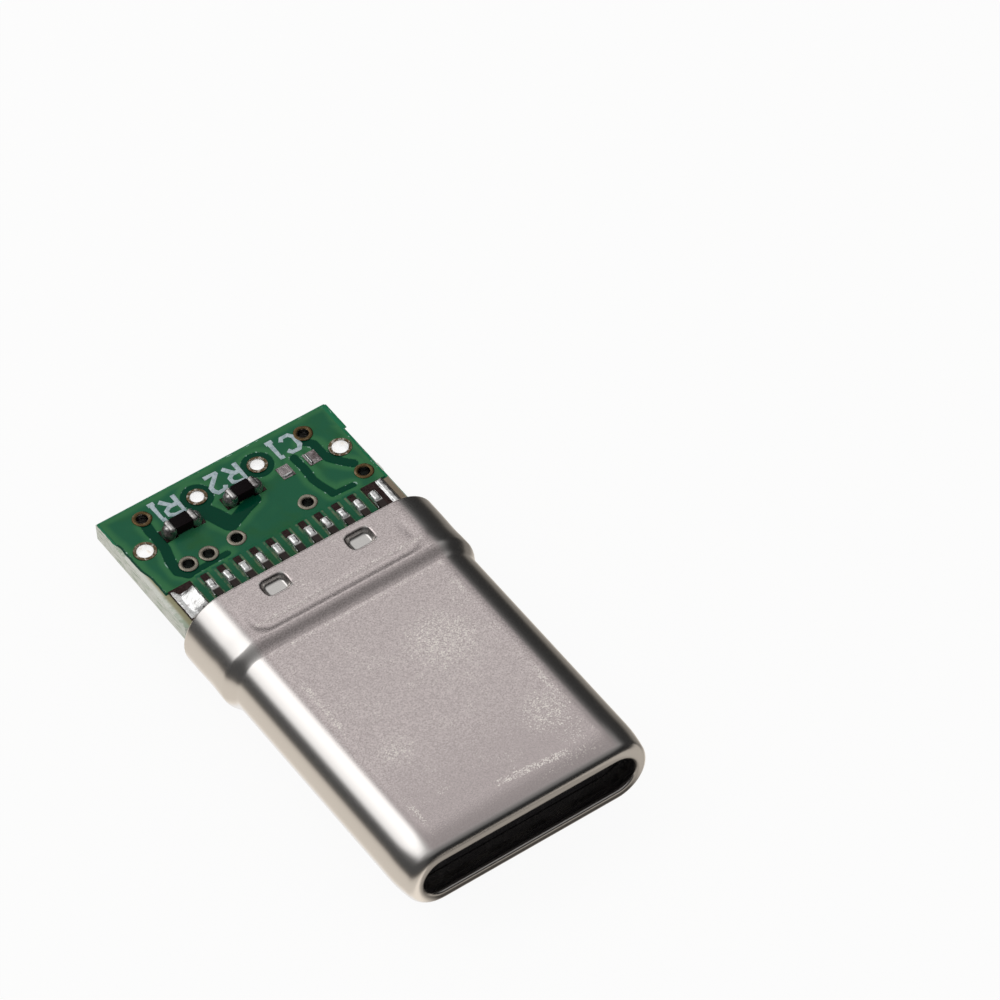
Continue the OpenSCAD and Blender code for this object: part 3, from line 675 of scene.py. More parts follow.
def grooveDepth(spec, x, y):  # faint draw line just behind the slope, turning back along the sides
    turn = spec["grooveTurn"]
    away = cornerAway(abs(x) - spec["grooveSide"] + turn, spec["groovePlace"] + turn - y) - turn
    left = 1 - spec["grooveLost"] * smoothBetween(*spec["grooveFade"], y)
    return spec["groove"] * math.exp(-(away / spec["grooveWidth"]) ** 2) * left


def pressedRadius(spec, radius, x, y, onFlat):
    outside = radius > spec["halfHeight"]
    if onFlat:
        radius -= dentDepth(spec, x, y) * (1 if outside else spec["dentInside"])
    if outside:
        radius -= grooveDepth(spec, x, y)
    return radius


def makeShell():
    spec = shellSpec
    outline, stations, cap = ovalOutline(spec), shellStations(spec), spec["capX"]
    clearSelection()
    bpy.ops.mesh.primitive_circle_add(vertices=len(outline), radius=1, fill_type="NOTHING")
    shell = bpy.context.object
    ring = openMesh(shell)
    radius, y = stations[0]
    for v, (x, outX, outZ) in zip(ring.verts, outline):
        v.co = (x + outX * radius, y, outZ * radius)
    bmesh.update_edit_mesh(shell.data)
    for radius, y in stations[1:]:
        bpy.ops.mesh.extrude_edges_move()
        ring = bmesh.from_edit_mesh(shell.data)
        for v in ring.verts:
            if v.select:
                x = max(-cap, min(cap, v.co.x))
                out = Vector((v.co.x - x, 0, v.co.z)).normalized()
                v.co = Vector((x, y, 0)) + out * pressedRadius(spec, radius, x, y, abs(v.co.x) < cap)
        bmesh.update_edit_mesh(shell.data)
    bpy.ops.mesh.select_all(action="SELECT")
    bpy.ops.mesh.remove_doubles(threshold=1e-4)
    faceOutwards()
    smoothFaces(shell, spec["smoothAngle"])
    seatPiece([shell], "shellBody", shellSteel, "shell_steel", "plug_shell")


makeShell()
print("shell drawn")


# board layout in mm: x across, and back from the wire end

boardSpec = {
    "left": -4.005, "right": 3.895, "length": 5.05, "wireEnd": 16.5, "face": 0.3, "pad": 0.34,
    # a snapped panel tab: how far out, and its end
    "stub": (3.995, 1.15), "stubRoot": 1, "stubSlope": 1.4,
    # left edge: how much more fibre is bare, from and to
    "leftBare": 0.02, "scraped": [(0.08, 0.9, 1.2), (0.1, 2.2, 2.8)],
    "tails": 12, "tailPitch": 0.565, "padWidth": 0.32, "padFrom": 3.46, "endPadEdge": 3.7,
    "pastEnd": 5.3, "pastSide": 4.2,
    "wireHoles": [(-3.39, 1.74, 0.26), (-1.05, 0.87, 0.22), (1.05, 0.87, 0.22), (3.39, 1.74, 0.26)],
    "wirePads": [(-2.94, 0.72), (-0.95, 0.48), (0.95, 0.48), (2.94, 0.72)], "wirePadBack": (0.22, 2.10),
    "vias": [(-2.63, 2.9), (-1.95, 2.92), (-0.97, 2.9), (1.44, 2.98), (3.43, 2.95),
             (-2.8, 0.64), (2.8, 0.64)],
    "viaRadius": 0.18, "ring": 0.09, "chips": [-2.03, 0.08, 2.03], "chipBack": 1.6,
}
chipSpec = {
    "length": 1.0, "width": 0.5, "height": 0.35, "cap": 0.24, "ease": 0.1, "toe": 0.17, "seed": 20,
    "bodyEase": 0.02, "bodySunk": 0.012, "blobBack": 0.05, "blobWide": 0.52, "blobHigh": 0.30,
    "blobRise": 0.02, "blobSunk": 0.005, "blobRipple": 0.03, "blobGrain": 5, "phases": 20,
}


def tailX(i):
    return (i - (boardSpec["tails"] - 1) / 2) * boardSpec["tailPitch"]


def sideName(upper, name):
    return ("upper" if upper else "lower") + name


# mask: a thin skin on each face, raised over copper, low in the channels and open at the pads

maskSpec = {
    "step": 0.04, "overFibre": 0.012, "overCopper": 0.034, "slope": 0.09, "margin": -0.06,
    "sunk": -0.012, "below": 0.25, "thickness": 0.03, "smoothAngle": 50,
    "channelEdge": (-0.03, 0.05), "thinning": 0.007, "thinReach": (0.04, 0.34), "edgeBand": 0.06,
    "ripple": 0.003, "rippleGrain": 2.1, "ragged": 0.02, "raggedGrain": 5.0, "roundLap": 0.05,
    "holeGap": 0.05, "overhang": 0.02, "padLap": 0.06, "lapHeight": 0.05, "lapFade": (0.02, 0.06),
    "lapEnd": 5.0, "dataClearance": 0.5,
    # width, then the points that a channel follows
    "upperChannels": [
        (0.30, [(2.63, 0.91), (2.82, 1.15), (2.82, 1.55), (2.88, 1.89), (3.12, 2.23), (3.34, 2.49)]),
        (0.26, [(2.06, 1.28), (2.08, 1.8), (2.05, 2.33), (2.11, 2.62), (2.23, 3.1)]),
        (0.32, [(-2.84, 0.95), (-2.87, 1.19), (-2.85, 1.62), (-2.87, 2.01), (-3.01, 2.53), (-3.03, 2.97),
                (-2.83, 3.23)]),
        (0.55, [(-1.2, 1.38), (-1.01, 1.79), (-0.83, 2.3)]),
        (0.42, [(-0.83, 2.39), (-0.14, 2.07), (0.25, 1.94)]),
        (0.2, [(-2.83, 3.25), (-1.5, 3.22)]), (0.18, [(2.2, 3.15), (2.9, 3.2)]),
    ],
    "lowerChannels": [
        (0.33, [(-2.75, 2.5), (-2.14, 2.37), (-1.93, 1.97), (-1.95, 0.1)]),
        (0.34, [(1.16, 2.74), (1.82, 2.18), (1.78, 1.63), (1.75, 0.1)]),
        (0.30, [(-0.05, 2.58), (-0.06, 0.05)]),
        (0.16, [(-3.82, 3.2), (-3.82, 0.16), (3.82, 0.16), (3.82, 3.2)]),
    ],
}


def maskOpenings(upper):
    spec, half, end = boardSpec, boardSpec["padWidth"] / 2, boardSpec["pastEnd"]
    last = spec["tails"] - 1
    pads = [(tailX(i) - half, spec["padFrom"], tailX(i) + half, end) for i in range(1, last)]
    inner, outer = tailX(last) - half, spec["pastSide"]
    boxes = pads + [(inner, spec["padFrom"], outer, end), (-outer, spec["padFrom"], -inner, end)]
    if upper:
        long, half, back = chipSpec["length"] / 2, chipSpec["width"] / 2, spec["chipBack"]
        for x in spec["chips"]:
            for s in (-1, 1):
                near, far = x + s * (long - chipSpec["cap"]), x + s * (long + chipSpec["toe"])
                boxes.append((min(near, far), back - half, max(near, far), back + half))
    else:
        low, high = spec["wirePadBack"]
        boxes += [(x - half, low, x + half, high) for x, half in spec["wirePads"]]
    rounds = [(x, b, r + spec["ring"]) for x, b, r in spec["wireHoles"]]
    rounds += [(x, b, spec["viaRadius"] + spec["ring"]) for x, b in spec["vias"]]
    return boxes, rounds, pads


def edgeInside(x, back):  # distance in from the board's edge, with the wire-end stub of the snapped tab
    spec = boardSpec
    out, end = spec["stub"]
    bare = spec["leftBare"]
    for more, start, full in spec["scraped"]:
        bare += more * smoothBetween(start, full, back)
    plain = boxAway(x, back, spec["left"] + bare, 0, spec["right"], spec["length"])
    stub = max(boxAway(x, back, spec["right"] - spec["stubRoot"], 0, out, end),
               (x - spec["right"] - back) / spec["stubSlope"])
    return -min(plain, stub)


def maskHeight(x, back, channels, boxes, rounds, pads, upper):
    spec = maskSpec
    aways = [lineAway(x, back, points) - width / 2 for width, points in channels]
    if upper:
        dataHoles = boardSpec["wireHoles"][1:3]
        aways += [math.hypot(x - hx, back - hb) - spec["dataClearance"] for hx, hb, r in dataHoles]
    copper, edge = smoothBetween(*spec["channelEdge"], min(aways)), edgeInside(x, back)
    full = smoothBetween(*spec["thinReach"], min(min(aways), edge - spec["edgeBand"]))
    high = spec["overFibre"] + (spec["overCopper"] - spec["overFibre"]) * copper
    high += spec["thinning"] * (full - 1) * copper
    grain = spec["rippleGrain"]
    high += spec["ripple"] * uneven(x * grain, back * grain, 3.0 if upper else 8.0)
    grain = spec["raggedGrain"]
    away = edge - spec["ragged"] * uneven(x * grain, back * grain, 1.0)
    for box in boxes:
        away = min(away, boxAway(x, back, *box) - spec["margin"])
    for hx, hb, r in rounds:
        away = min(away, math.hypot(x - hx, back - hb) - r + spec["roundLap"])
    for pad in pads:  # the mask laps over the rim of a contact pad
        over = boxAway(x, back, *pad)
        if -spec["padLap"] < over < spec["lapFade"][1] and back < spec["lapEnd"]:
            clear = smoothBetween(*spec["lapFade"], over)
            return spec["lapHeight"] * (1 - clear) + high * clear
    lift = away / spec["slope"]
    return max(spec["sunk"], min(high, high * min(1.0, lift) if lift > 0 else spec["below"] * away))


def makeMask(upper):
    spec, board = maskSpec, boardSpec
    channels = spec[sideName(upper, "Channels")]
    openings = maskOpenings(upper)
    side = 1 if upper else -1
    clearSelection()
    wide, long = board["stub"][0] - board["left"], board["length"]
    middle = (board["stub"][0] + board["left"]) / 2
    bpy.ops.mesh.primitive_grid_add(
        x_subdivisions=round(wide / spec["step"]), y_subdivisions=round(long / spec["step"]), size=1)
    skin = bpy.context.object
    openMesh(skin)
    bpy.ops.transform.resize(value=(wide, long, 1))
    sheet = bmesh.from_edit_mesh(skin.data)
    for v in sheet.verts:
        x, back = v.co.x + middle, long / 2 - v.co.y
        high = maskHeight(x, back, channels, *openings, upper)
        v.co = (x, board["wireEnd"] - back, side * (board["face"] + high))
    holes = board["wireHoles"] + [(x, b, board["viaRadius"]) for x, b in board["vias"]]
    bpy.ops.mesh.select_all(action="DESELECT")
    for f in sheet.faces:
        c = f.calc_center_median()
        back = board["wireEnd"] - c.y
        inHole = any(math.hypot(c.x - x, back - b) < r + spec["holeGap"] for x, b, r in holes)
        f.select_set(inHole or edgeInside(c.x, back) < -spec["overhang"])
    bmesh.update_edit_mesh(skin.data)
    bpy.ops.mesh.delete(type="FACE")
    bpy.ops.mesh.select_all(action="SELECT")
    if not upper:
        bpy.ops.mesh.flip_normals()
    bpy.ops.object.mode_set(mode="OBJECT")
    thicken(skin, spec["thickness"])
    applyAll(skin)
    smoothFaces(skin, spec["smoothAngle"])
    seatPiece([skin], sideName(upper, "Mask"), maskGreen, "solder_mask")


makeMask(True)
makeMask(False)
print("mask laid")


# sleeves: the tinned walls of the four wire holes

sleeveSpec = {"wall": 0.012, "around": 40, "gap": 0.001, "below": 0.002, "ease": 0.004, "smoothAngle": 40}


def makeSleeves():
    spec, sleeves = sleeveSpec, []
    for x, back, r in boardSpec["wireHoles"]:
        clearSelection()
        bpy.ops.mesh.primitive_cylinder_add(
            vertices=spec["around"], radius=r - spec["gap"], depth=2 * (boardSpec["pad"] - spec["below"]),
            end_fill_type="NOTHING", location=(x, boardSpec["wireEnd"] - back, 0))
        sleeve = bpy.context.object
        thicken(sleeve, spec["wall"])
        easeEdges(sleeve, spec["ease"], 2)
        applyAll(sleeve)
        applyPlace()
        smoothFaces(sleeve, spec["smoothAngle"])
        sleeves.append(sleeve)
    seatPiece(sleeves, "wireHoleSleeves", holeTin, "tinned_copper")


makeSleeves()
print("sleeves set")


# via rims: plated lands that stand a little above the mask

rimSpec = {"middle": 0.24, "half": 0.058, "high": 0.02, "around": 36, "section": 10,
           "ragged": 0.02, "raggedGrain": 4, "smoothAngle": 60}


def makeViaRims():
    spec, rims = rimSpec, []
    for x, back in boardSpec["vias"]:
        for side in (-1, 1):
            clearSelection()
            bpy.ops.mesh.primitive_torus_add(
                major_segments=spec["around"], minor_segments=spec["section"],
                major_radius=spec["middle"], minor_radius=spec["half"])
            rim = bpy.context.object
            openMesh(rim)
            bpy.ops.transform.resize(value=(1, 1, spec["high"] / spec["half"]))
            bpy.ops.transform.translate(value=(x, boardSpec["wireEnd"] - back, side * boardSpec["pad"]))
            ring = bmesh.from_edit_mesh(rim.data)
            for v in ring.verts:
                out = Vector((v.co.x - x, v.co.y - boardSpec["wireEnd"] + back, 0))
                if out.length > spec["middle"]:
                    v.co += out.normalized() * spec["ragged"] * noise.noise(v.co * spec["raggedGrain"])
            bmesh.update_edit_mesh(rim.data)
            smoothFaces(rim, spec["smoothAngle"])
            rims.append(rim)
    seatPiece(rims, "viaRims", viaCopper, "tinned_copper")


makeViaRims()
print("via rims set")


# solder: a smooth coat over each tail, and mounds on the end pads

solderSpec = {
    "seed": 7, "phases": 30, "base": 0.01, "smoothAngle": 60, "sunk": 0.006,
    "tailFrom": 3.73, "tailTip": 3.88, "tailEnd": 4.44, "tailTop": 0.485, "tailHalf": 0.145,
    "tailGrid": (10, 22), "widthVaries": 0.05, "tipVaries": 0.06, "fromVaries": 0.05, "topVaries": 0.03,
    "tipLead": 0.1, "tipLag": 0.05, "tipPower": 1.4, "sinkFrom": 4.14, "ridgePower": 3.4,
    "wave": 0.022, "waveGrain": (6, 5),
    "moundEnd": 4.75, "moundGrid": (24, 30), "moundEdge": 0.09, "moundSunk": 0.004, "crinkleGrain": 6,
    # right: a tinned strip beside the tail
    "stripSunk": -0.008, "stripHigh": 0.07, "stripSide": (3.43, 3.50), "stripCrinkle": 0.2,
    # left: a heap that leans on the tail, with a thin film on its outer side
    "heapFrom": 3.72, "heapRound": 0.22, "heapCorner": (-3.45, -3.6), "heapSide": -3.52, "heapBow": 0.3,
    "heapMiddle": 4.2, "heapReach": 0.55, "heapSlope": 0.49, "heapTop": 0.22, "heapFall": 0.9,
    "heapCrest": 3.08, "film": 0.012, "filmCrinkle": 0.008,
}


def moundGrid(x0, x1, back0, back1, counts, heightAt, side):
    clearSelection()
    bpy.ops.mesh.primitive_grid_add(x_subdivisions=counts[0], y_subdivisions=counts[1], size=1)
    mound = bpy.context.object
    sheet = openMesh(mound)
    for v in sheet.verts:
        u, w = v.co.x + 0.5, 0.5 - v.co.y
        x, back = x0 + (x1 - x0) * u, back0 + (back1 - back0) * w
        v.co = (x, boardSpec["wireEnd"] - back, heightAt(x, back))
    bmesh.update_edit_mesh(mound.data)
    bpy.ops.mesh.extrude_region_move()
    base = bmesh.from_edit_mesh(mound.data)
    for v in base.verts:
        if v.select:
            v.co.z = boardSpec["pad"] - solderSpec["base"]
    bmesh.update_edit_mesh(mound.data)
    bpy.ops.mesh.select_all(action="SELECT")
    if side < 0:
        bpy.ops.transform.mirror(constraint_axis=(False, False, True), center_override=(0, 0, 0))
    faceOutwards()
    smoothFaces(mound, solderSpec["smoothAngle"])
    return mound


def tailCoat(i, side, chance):
    spec = solderSpec
    middle, wide = tailX(i), spec["tailHalf"] * (1 + spec["widthVaries"] * chance.uniform(-1, 1))
    tip = spec["tailTip"] + spec["tipVaries"] * chance.uniform(-1, 1)
    first = spec["tailFrom"] + spec["fromVaries"] * chance.uniform(0, 1)
    crown = spec["tailTop"] - boardSpec["pad"] + spec["topVaries"] * chance.uniform(0, 1)
    phase = chance.uniform(0, spec["phases"])
    grainX, grainY = spec["waveGrain"]

    def heightAt(x, back):
        rear = max(0.0, first + wide - back) / wide  # the tip is round in plan
        across = min(1.0, math.hypot((x - middle) / wide, rear))
        along = smoothBetween(first - spec["tipLead"], tip + spec["tipLag"], back) ** spec["tipPower"]
        along *= 1 - smoothBetween(spec["sinkFrom"], spec["tailEnd"], back)
        ridge = math.sqrt(max(0.0, 1 - across ** spec["ridgePower"]))
        wave = spec["wave"] * uneven(x * grainX, back * grainY, phase)
        return boardSpec["pad"] + max(-spec["sunk"], (crown + wave) * along * ridge - spec["sunk"])

    return moundGrid(middle - wide, middle + wide, spec["tailFrom"], spec["tailEnd"],
                     spec["tailGrid"], heightAt, side)


def endMound(right, side, chance):
    spec, start, end = solderSpec, boardSpec["padFrom"], solderSpec["moundEnd"]
    inner, outer = tailX(boardSpec["tails"] - 1) - boardSpec["padWidth"] / 2, boardSpec["endPadEdge"]
    x0, x1 = (inner, outer) if right else (-outer, -inner)
    phase = chance.uniform(0, spec["phases"])

    def heightAt(x, back):
        border = min(x - x0, x1 - x, back - start, end - back)
        crinkle = uneven(x * spec["crinkleGrain"], back * spec["crinkleGrain"], phase)
        if right:
            swell = smoothBetween(*spec["stripSide"], x) * (1 + spec["stripCrinkle"] * crinkle)
            body = spec["stripSunk"] + spec["stripHigh"] * swell
        else:
            corner = spec["heapRound"] * smoothBetween(*spec["heapCorner"], x)
            border = min(border, back - spec["heapFrom"] + corner)
            foot = spec["heapSide"] + spec["heapBow"] * ((back - spec["heapMiddle"]) / spec["heapReach"]) ** 4
            lean = min(spec["heapSlope"] * (x - foot),
                       spec["heapTop"] - spec["heapFall"] * max(0.0, x + spec["heapCrest"]))
            body = spec["film"] + max(0.0, lean) + spec["filmCrinkle"] * crinkle
        body *= smoothBetween(0.0, spec["moundEdge"], border)
        return boardSpec["pad"] + max(-spec["sunk"], body - spec["moundSunk"])

    return moundGrid(x0, x1, start, end, spec["moundGrid"], heightAt, side)


def makeTailSolder(upper):
    chance = random.Random(solderSpec["seed"] + (0 if upper else 1))
    side = 1 if upper else -1
    pieces = [tailCoat(i, side, chance) for i in range(boardSpec["tails"])]
    pieces += [endMound(False, side, chance), endMound(True, side, chance)]
    seatPiece(pieces, sideName(upper, "TailSolder"), tailSolder, "solder", sideName(upper, "_solder"))


makeTailSolder(True)
makeTailSolder(False)
print("tails soldered")


# spare place for a chip: thin beads along two pad edges

spareSpec = {"back": (1.37, 1.83), "pads": [(1.38, 1.75), (2.31, 2.68)], "bead": 0.06, "width": 0.045,
             "rearInset": 0.08, "sideInset": 0.06, "swell": 0.5, "swellGrain": 9, "edge": 0.05, "sunk": 0.008,
             "grid": (24, 28)}


def makeSpareSolder():
    spec, beads = spareSpec, []
    low, high = spec["back"]
    for number, (x0, x1) in enumerate(spec["pads"]):

        def heightAt(x, back):
            border = min(x - x0, x1 - x, back - low, high - back)
            away = back - high + spec["rearInset"] if number == 0 else x - x0 - spec["sideInset"]
            away /= spec["width"]
            swell = 1 + spec["swell"] * uneven(x * spec["swellGrain"], back * spec["swellGrain"], 2.0)
            body = spec["bead"] * swell * math.exp(-away * away) * smoothBetween(0.0, spec["edge"], border)
            return boardSpec["pad"] + max(-spec["sunk"], body - spec["sunk"])

        beads.append(moundGrid(x0, x1, low, high, spec["grid"], heightAt, 1))
    seatPiece(beads, "spareSolder", solderBright, "solder", "spare_solder")


makeSpareSolder()
print("spare pads tinned")


# chip resistors: a glazed body between two soldered end caps

def roundedBlock(lowCorner, highCorner, ease):
    clearSelection()
    bpy.ops.mesh.primitive_cube_add(size=1, location=[(a + b) / 2 for a, b in zip(lowCorner, highCorner)])
    block = bpy.context.object
    block.scale = [b - a for a, b in zip(lowCorner, highCorner)]
    applyPlace()
    easeEdges(block, ease, 4)
    applyAll(block)
    smoothFaces(block, 40)
    return block


def solderBlob(x, y, reach, chance):
    spec, pad = chipSpec, boardSpec["pad"]
    clearSelection()
    bpy.ops.mesh.primitive_uv_sphere_add(segments=28, ring_count=18, radius=1)
    blob = bpy.context.object
    openMesh(blob)
    bpy.ops.transform.resize(value=(reach, spec["width"] * spec["blobWide"], spec["blobHigh"]))
    bpy.ops.transform.translate(value=(x, y, pad + spec["blobRise"]))
    bpy.ops.mesh.bisect(
        plane_co=(0, 0, pad - spec["blobSunk"]), plane_no=(0, 0, -1), clear_outer=True, use_fill=True)
    ball = bmesh.from_edit_mesh(blob.data)
    phase = chance.uniform(0, spec["phases"])
    for v in ball.verts:
        if v.co.z > pad:
            place = v.co * spec["blobGrain"] + Vector((0, 0, phase))
            v.co += Vector((0, 0, 1)) * spec["blobRipple"] * noise.noise(place)
    bmesh.update_edit_mesh(blob.data)
    faceOutwards()
    smoothFaces(blob, 60)
    return blob


def makeChip(number, x):
    spec, y, z = chipSpec, boardSpec["wireEnd"] - boardSpec["chipBack"], boardSpec["pad"]
    chance = random.Random(spec["seed"] + number)
    half, wide, high, ease = spec["length"] / 2, spec["width"] / 2, spec["height"], spec["bodyEase"]
    body = roundedBlock((x - half + spec["cap"] - ease, y - wide + ease, z + ease),
                        (x + half - spec["cap"] + ease, y + wide - ease, z + high - spec["bodySunk"]), ease)
    seatPiece([body], f"resistorBody{number}", chipGlaze, "chip_black", f"resistor_{number}_body")
    ends = []
    for s in (-1, 1):
        near, far = x + s * (half - spec["cap"]), x + s * half
        lowCorner, highCorner = (min(near, far), y - wide, z), (max(near, far), y + wide, z + high)
        ends.append(roundedBlock(lowCorner, highCorner, spec["ease"]))
        ends.append(solderBlob(x + s * (half - spec["blobBack"]), y, spec["blobBack"] + spec["toe"], chance))
    seatPiece(ends, f"resistorEnds{number}", chipTin, "solder",
              f"resistor_{number}_caps", f"resistor_{number}_solder")


makeChip(1, boardSpec["chips"][0])
makeChip(2, boardSpec["chips"][1])
print("chips placed")


# printed marks: each stroke is a flattened round line of ink

markSpec = {
    "pen": 0.079, "flat": 0.22, "lift": 0.031, "smoothAngle": 50,
    "strokes": {
        "R": [[(0, 0), (0, 1), (0.65, 1), (1, 0.86), (1, 0.62), (0.65, 0.48), (0, 0.48)],
              [(0.45, 0.48), (1, 0)]],
        "1": [[(0.15, 1), (0.5, 1), (0.5, 0)], [(0.1, 0), (0.9, 0)]],
        "2": [[(0, 0.82), (0.2, 1), (0.8, 1), (1, 0.82), (1, 0.6), (0, 0.05), (0, 0), (1, 0)]],
        "C": [[(1, 0.8), (0.8, 1), (0.25, 1), (0, 0.78), (0, 0.22), (0.25, 0), (0.8, 0), (1, 0.2)]],
        "G": [[(1, 0.82), (0.75, 1), (0.25, 1), (0, 0.8), (0, 0.2), (0.25, 0), (0.8, 0), (1, 0.2), (1, 0.5),
               (0.55, 0.5)]],
        "D": [[(0, 0), (0, 1), (0.6, 1), (1, 0.62), (1, 0.34), (0.6, 0), (0, 0)]],
        "+": [[(0, 0.5), (1, 0.5)], [(0.5, 0), (0.5, 1)]],
        "-": [[(0, 0.5), (1, 0.5)]],
        "V": [[(0, 1), (0.2, 0.2), (0.5, 0), (0.85, 0.18), (1, 1)]],
    },
    # letter, x where it starts, x where it ends, lower and upper edge back from the wire end
    "upper": [("R", -1.61, -2.07, 0.38, 1.08), ("1", -2.18, -2.45, 0.33, 1.05),
              ("R", 0.515, 0.11, 0.40, 1.11), ("2", -0.13, -0.53, 0.40, 1.11),
              ("C", 2.5, 2.08, 0.42, 1.07), ("1", 1.92, 1.62, 0.36, 1.06)],
    "lower": [("G", -3.5, -2.94, 2.52, 3.22), ("D", -1.4, -0.93, 2.48, 3.24),
              ("+", -0.66, -0.2, 2.62, 3.1), ("D", 0.38, 0.86, 2.5, 3.27),
              ("-", 1.03, 1.27, 2.7, 3.06), ("V", 2.57, 3.14, 2.5, 3.28)],
}


def makeMarks(upper):
    spec, side = markSpec, 1 if upper else -1
    clearSelection()
    line = bpy.data.curves.new("markLine", "CURVE")
    line.dimensions = "3D"
    line.bevel_depth = spec["pen"]
    line.bevel_resolution = 2
    line.use_fill_caps = True
    for letter, x0, x1, low, high in spec[sideName(upper, "")]:
        for stroke in spec["strokes"][letter]:
            spline = line.splines.new("POLY")
            spline.points.add(len(stroke) - 1)
            for point, (u, v) in zip(spline.points, stroke):
                point.co = (x0 + (x1 - x0) * u, boardSpec["wireEnd"] - low - (high - low) * v, 0, 1)
    marks = bpy.data.objects.new("marks", line)
    bpy.context.scene.collection.objects.link(marks)
    pick(marks)
    bpy.ops.object.convert(target="MESH")
    marks = bpy.context.object
    openMesh(marks)
    bpy.ops.transform.resize(value=(1, 1, spec["flat"]), center_override=(0, 0, 0))
    bpy.ops.transform.translate(value=(0, 0, side * (boardSpec["face"] + spec["lift"])))
    faceOutwards()
    smoothFaces(marks, spec["smoothAngle"])
    seatPiece([marks], sideName(upper, "Marks"), markInk, "solder_mask")


makeMarks(True)
makeMarks(False)
print("marks printed")


# finishes for the CAD nodes that stay in view

nodeFinish = {
    "front_housing": blackMoulding, "upper_carrier": blackMoulding, "lower_carrier": blackMoulding,
    "rear_insert": blackMoulding, "upper_spring": springSteel, "lower_spring": springSteel,
    "latch_sheet": springSteel, "circuit_board": fibreBoard,
    "upper_pads": contactPad, "lower_pads": contactPad, "vias": viaCopper,
    "terminal_g": terminalTin, "terminal_v": terminalTin,
    "terminal_data_plus": terminalTin, "terminal_data_minus": terminalTin,
    # painted shade: the chip pads take the near black pad finish, for the shade around the chips
    "resistor_1_pads": contactPad, "resistor_2_pads": contactPad, "spare_pads": tinnedPad,
}
for name, node in nodes.items():
    finish = nodeFinish.get(name, contactMetal if "_contact_" in name else None)
    if finish:
        node.data.materials.clear()
        node.data.materials.append(finish)
print("nodes finished")


# studio: white table, soft box behind on the left, pale panels behind, dim room elsewhere

studioSpec = {
    "table": (0.9, 0.89, 0.87), "tableSize": 1.6, "tableDrop": 2e-6,
    "glow": 0.92, "warmth": (1.0, 0.926, 0.826),
    # what metal sees of the table, in metres: dimmer far off, and painted shade on the shaded right and
    # before the mouth
    "farTable": (0.010, 0.024, 1.0, 0.1), "rightTable": (0.0042, 0.0075, 1.0, 0.24),
    "leftTable": (-0.0050, -0.0042, 0.74, 1.0), "mouthTable": (-0.0093, -0.0088, 0.36, 0.06),
    "underTable": (-0.0084, -0.0079), "leftFront": (-0.0028, -0.0038),
    "cornerRight": (0.0034, 0.0044), "cornerFront": (-0.0078, -0.0086, 0.0, 0.5),
    "warmSide": (0.0041, 0.0046), "warmFront": (-0.0079, -0.0083),
    # the room, by direction
    "ambient": 0.66, "overhead": (0.50, 0.88, 0.02, 0.45), "front": (-0.5, 0.1, 0.46, 1.0),
    "left": (0.1, -0.45, 0.0, 0.065),
    # azimuth from +Y towards +X, elevation, full radius and faded radius in degrees, level
    "glows": [(-36, 45, 19, 28, 1.13), (14, 10, 13, 21, 0.9), (30, 49, 8, 17, 0.34)],
    "key": {"azimuth": -36, "elevation": 48, "away": 0.18, "size": (0.09, 0.07), "level": 1.6},
    "fill": {"azimuth": 190, "elevation": 58, "away": 0.3, "size": (0.14, 0.14), "level": 0.5},
}


def wayTo(azimuth, elevation):
    turn, rise = math.radians(azimuth), math.radians(elevation)
    return Vector((math.sin(turn) * math.cos(rise), math.cos(turn) * math.cos(rise), math.sin(rise)))


def rayKinds(wires):  # seen by the camera, seen in metal and glass
    path = wires.add("ShaderNodeLightPath").outputs
    return path["Is Camera Ray"], wires.most(path["Is Glossy Ray"], path["Is Transmission Ray"])


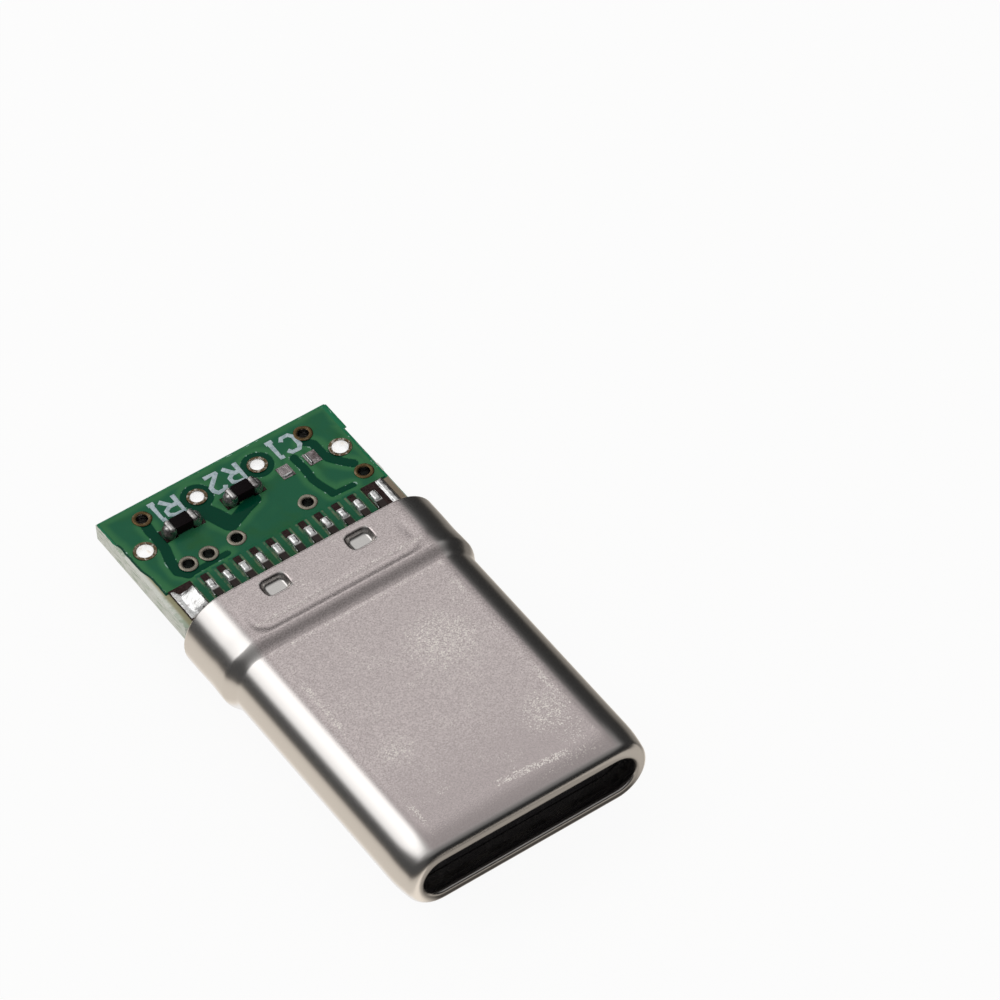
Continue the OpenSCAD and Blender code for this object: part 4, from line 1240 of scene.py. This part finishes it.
def makeTable():
    spec = studioSpec
    clearSelection()
    bpy.ops.mesh.primitive_plane_add(size=spec["tableSize"], location=(0, 0, -spec["tableDrop"]))
    table = bpy.context.object
    table.name = "table"
    material = bpy.data.materials.new("tablePaper")
    material.use_nodes = True
    wires = Wiring(material.node_tree)
    wires.tree.nodes.clear()
    paper = fill(wires.add("ShaderNodeBsdfDiffuse"), Color=(*spec["table"], 1))
    glow = wires.add("ShaderNodeEmission")
    seen, mirrored = rayKinds(wires)
    spot = wires.add("ShaderNodeTexCoord").outputs["Object"]
    x, y, z = wires.split(spot)
    far = wires.add("ShaderNodeVectorMath", operation="LENGTH")
    wires.link(spot, far.inputs[0])
    front = wires.most(wires.ramp(y, *spec["mouthTable"]), wires.ramp(y, *spec["underTable"]),
                       wires.ramp(x, *spec["leftFront"]))
    dim = wires.times(wires.ramp(far.outputs["Value"], *spec["farTable"]), wires.ramp(x, *spec["rightTable"]),
                      wires.ramp(x, *spec["leftTable"]), front)
    corner = wires.times(wires.ramp(x, *spec["cornerRight"]), wires.ramp(y, *spec["cornerFront"]))
    # painted shade: metal sees the table darker where the part shades it
    lost = wires.times(mirrored, wires.less(1.0, wires.most(dim, corner)))
    wires.link(wires.less(1.0, lost), glow.inputs["Strength"])
    # painted reflection: metal sees the table warmer beside the part
    beside = wires.most(wires.ramp(wires.math("ABSOLUTE", x), *spec["warmSide"]),
                        wires.ramp(y, *spec["warmFront"]))
    warm = wires.blend(wires.times(mirrored, beside), (1.0, 1.0, 1.0), spec["warmth"])
    wires.link(warm, glow.inputs["Color"])
    mix = wires.add("ShaderNodeMixShader")
    wires.link(wires.most(wires.times(seen, spec["glow"]), mirrored), mix.inputs["Fac"])
    wires.link(paper.outputs[0], mix.inputs[1])
    wires.link(glow.outputs[0], mix.inputs[2])
    wires.link(mix.outputs[0], wires.add("ShaderNodeOutputMaterial").inputs["Surface"])
    table.data.materials.append(material)


def makeRoom():
    spec = studioSpec
    world = bpy.data.worlds.new("room")
    bpy.context.scene.world = world
    world.use_nodes = True
    wires = Wiring(world.node_tree)
    sky = fill(wires.tree.nodes["Background"], Color=(1, 1, 1, 1))
    way = wires.add("ShaderNodeTexCoord").outputs["Generated"]
    x, y, z = wires.split(way)
    light = wires.times(wires.ramp(z, *spec["overhead"]), wires.ramp(y, *spec["front"]))
    light = wires.most(light, wires.ramp(x, *spec["left"]))
    for azimuth, elevation, full, faded, level in spec["glows"]:
        near = wires.add("ShaderNodeVectorMath", operation="DOT_PRODUCT")
        wires.link(way, near.inputs[0])
        near.inputs[1].default_value = wayTo(azimuth, elevation)
        edges = math.cos(math.radians(faded)), math.cos(math.radians(full))
        light = wires.plus(light, wires.ramp(near.outputs["Value"], *edges, 0.0, level))
    seen, mirrored = rayKinds(wires)
    plain = wires.times(wires.less(1.0, mirrored), spec["ambient"])
    room = wires.plus(plain, wires.times(mirrored, light))
    wires.link(wires.most(room, seen), sky.inputs["Strength"])


def makeLamp(name):
    spec = studioSpec[name]
    way = wayTo(spec["azimuth"], spec["elevation"])
    clearSelection()
    bpy.ops.object.light_add(
        type="AREA", location=way * spec["away"], rotation=way.to_track_quat("Z", "Y").to_euler())
    lamp = bpy.context.object
    lamp.name = name + "Lamp"
    lamp.data.shape = "RECTANGLE"
    lamp.data.size, lamp.data.size_y = spec["size"]
    lamp.data.energy = spec["level"] * math.pi * spec["size"][0] * spec["size"][1]
    lamp.visible_camera = False
    lamp.visible_glossy = False  # the room's own glows are what shiny faces show


makeTable()
makeRoom()
for lampName in ("key", "fill"):
    makeLamp(lampName)
print("studio lit")
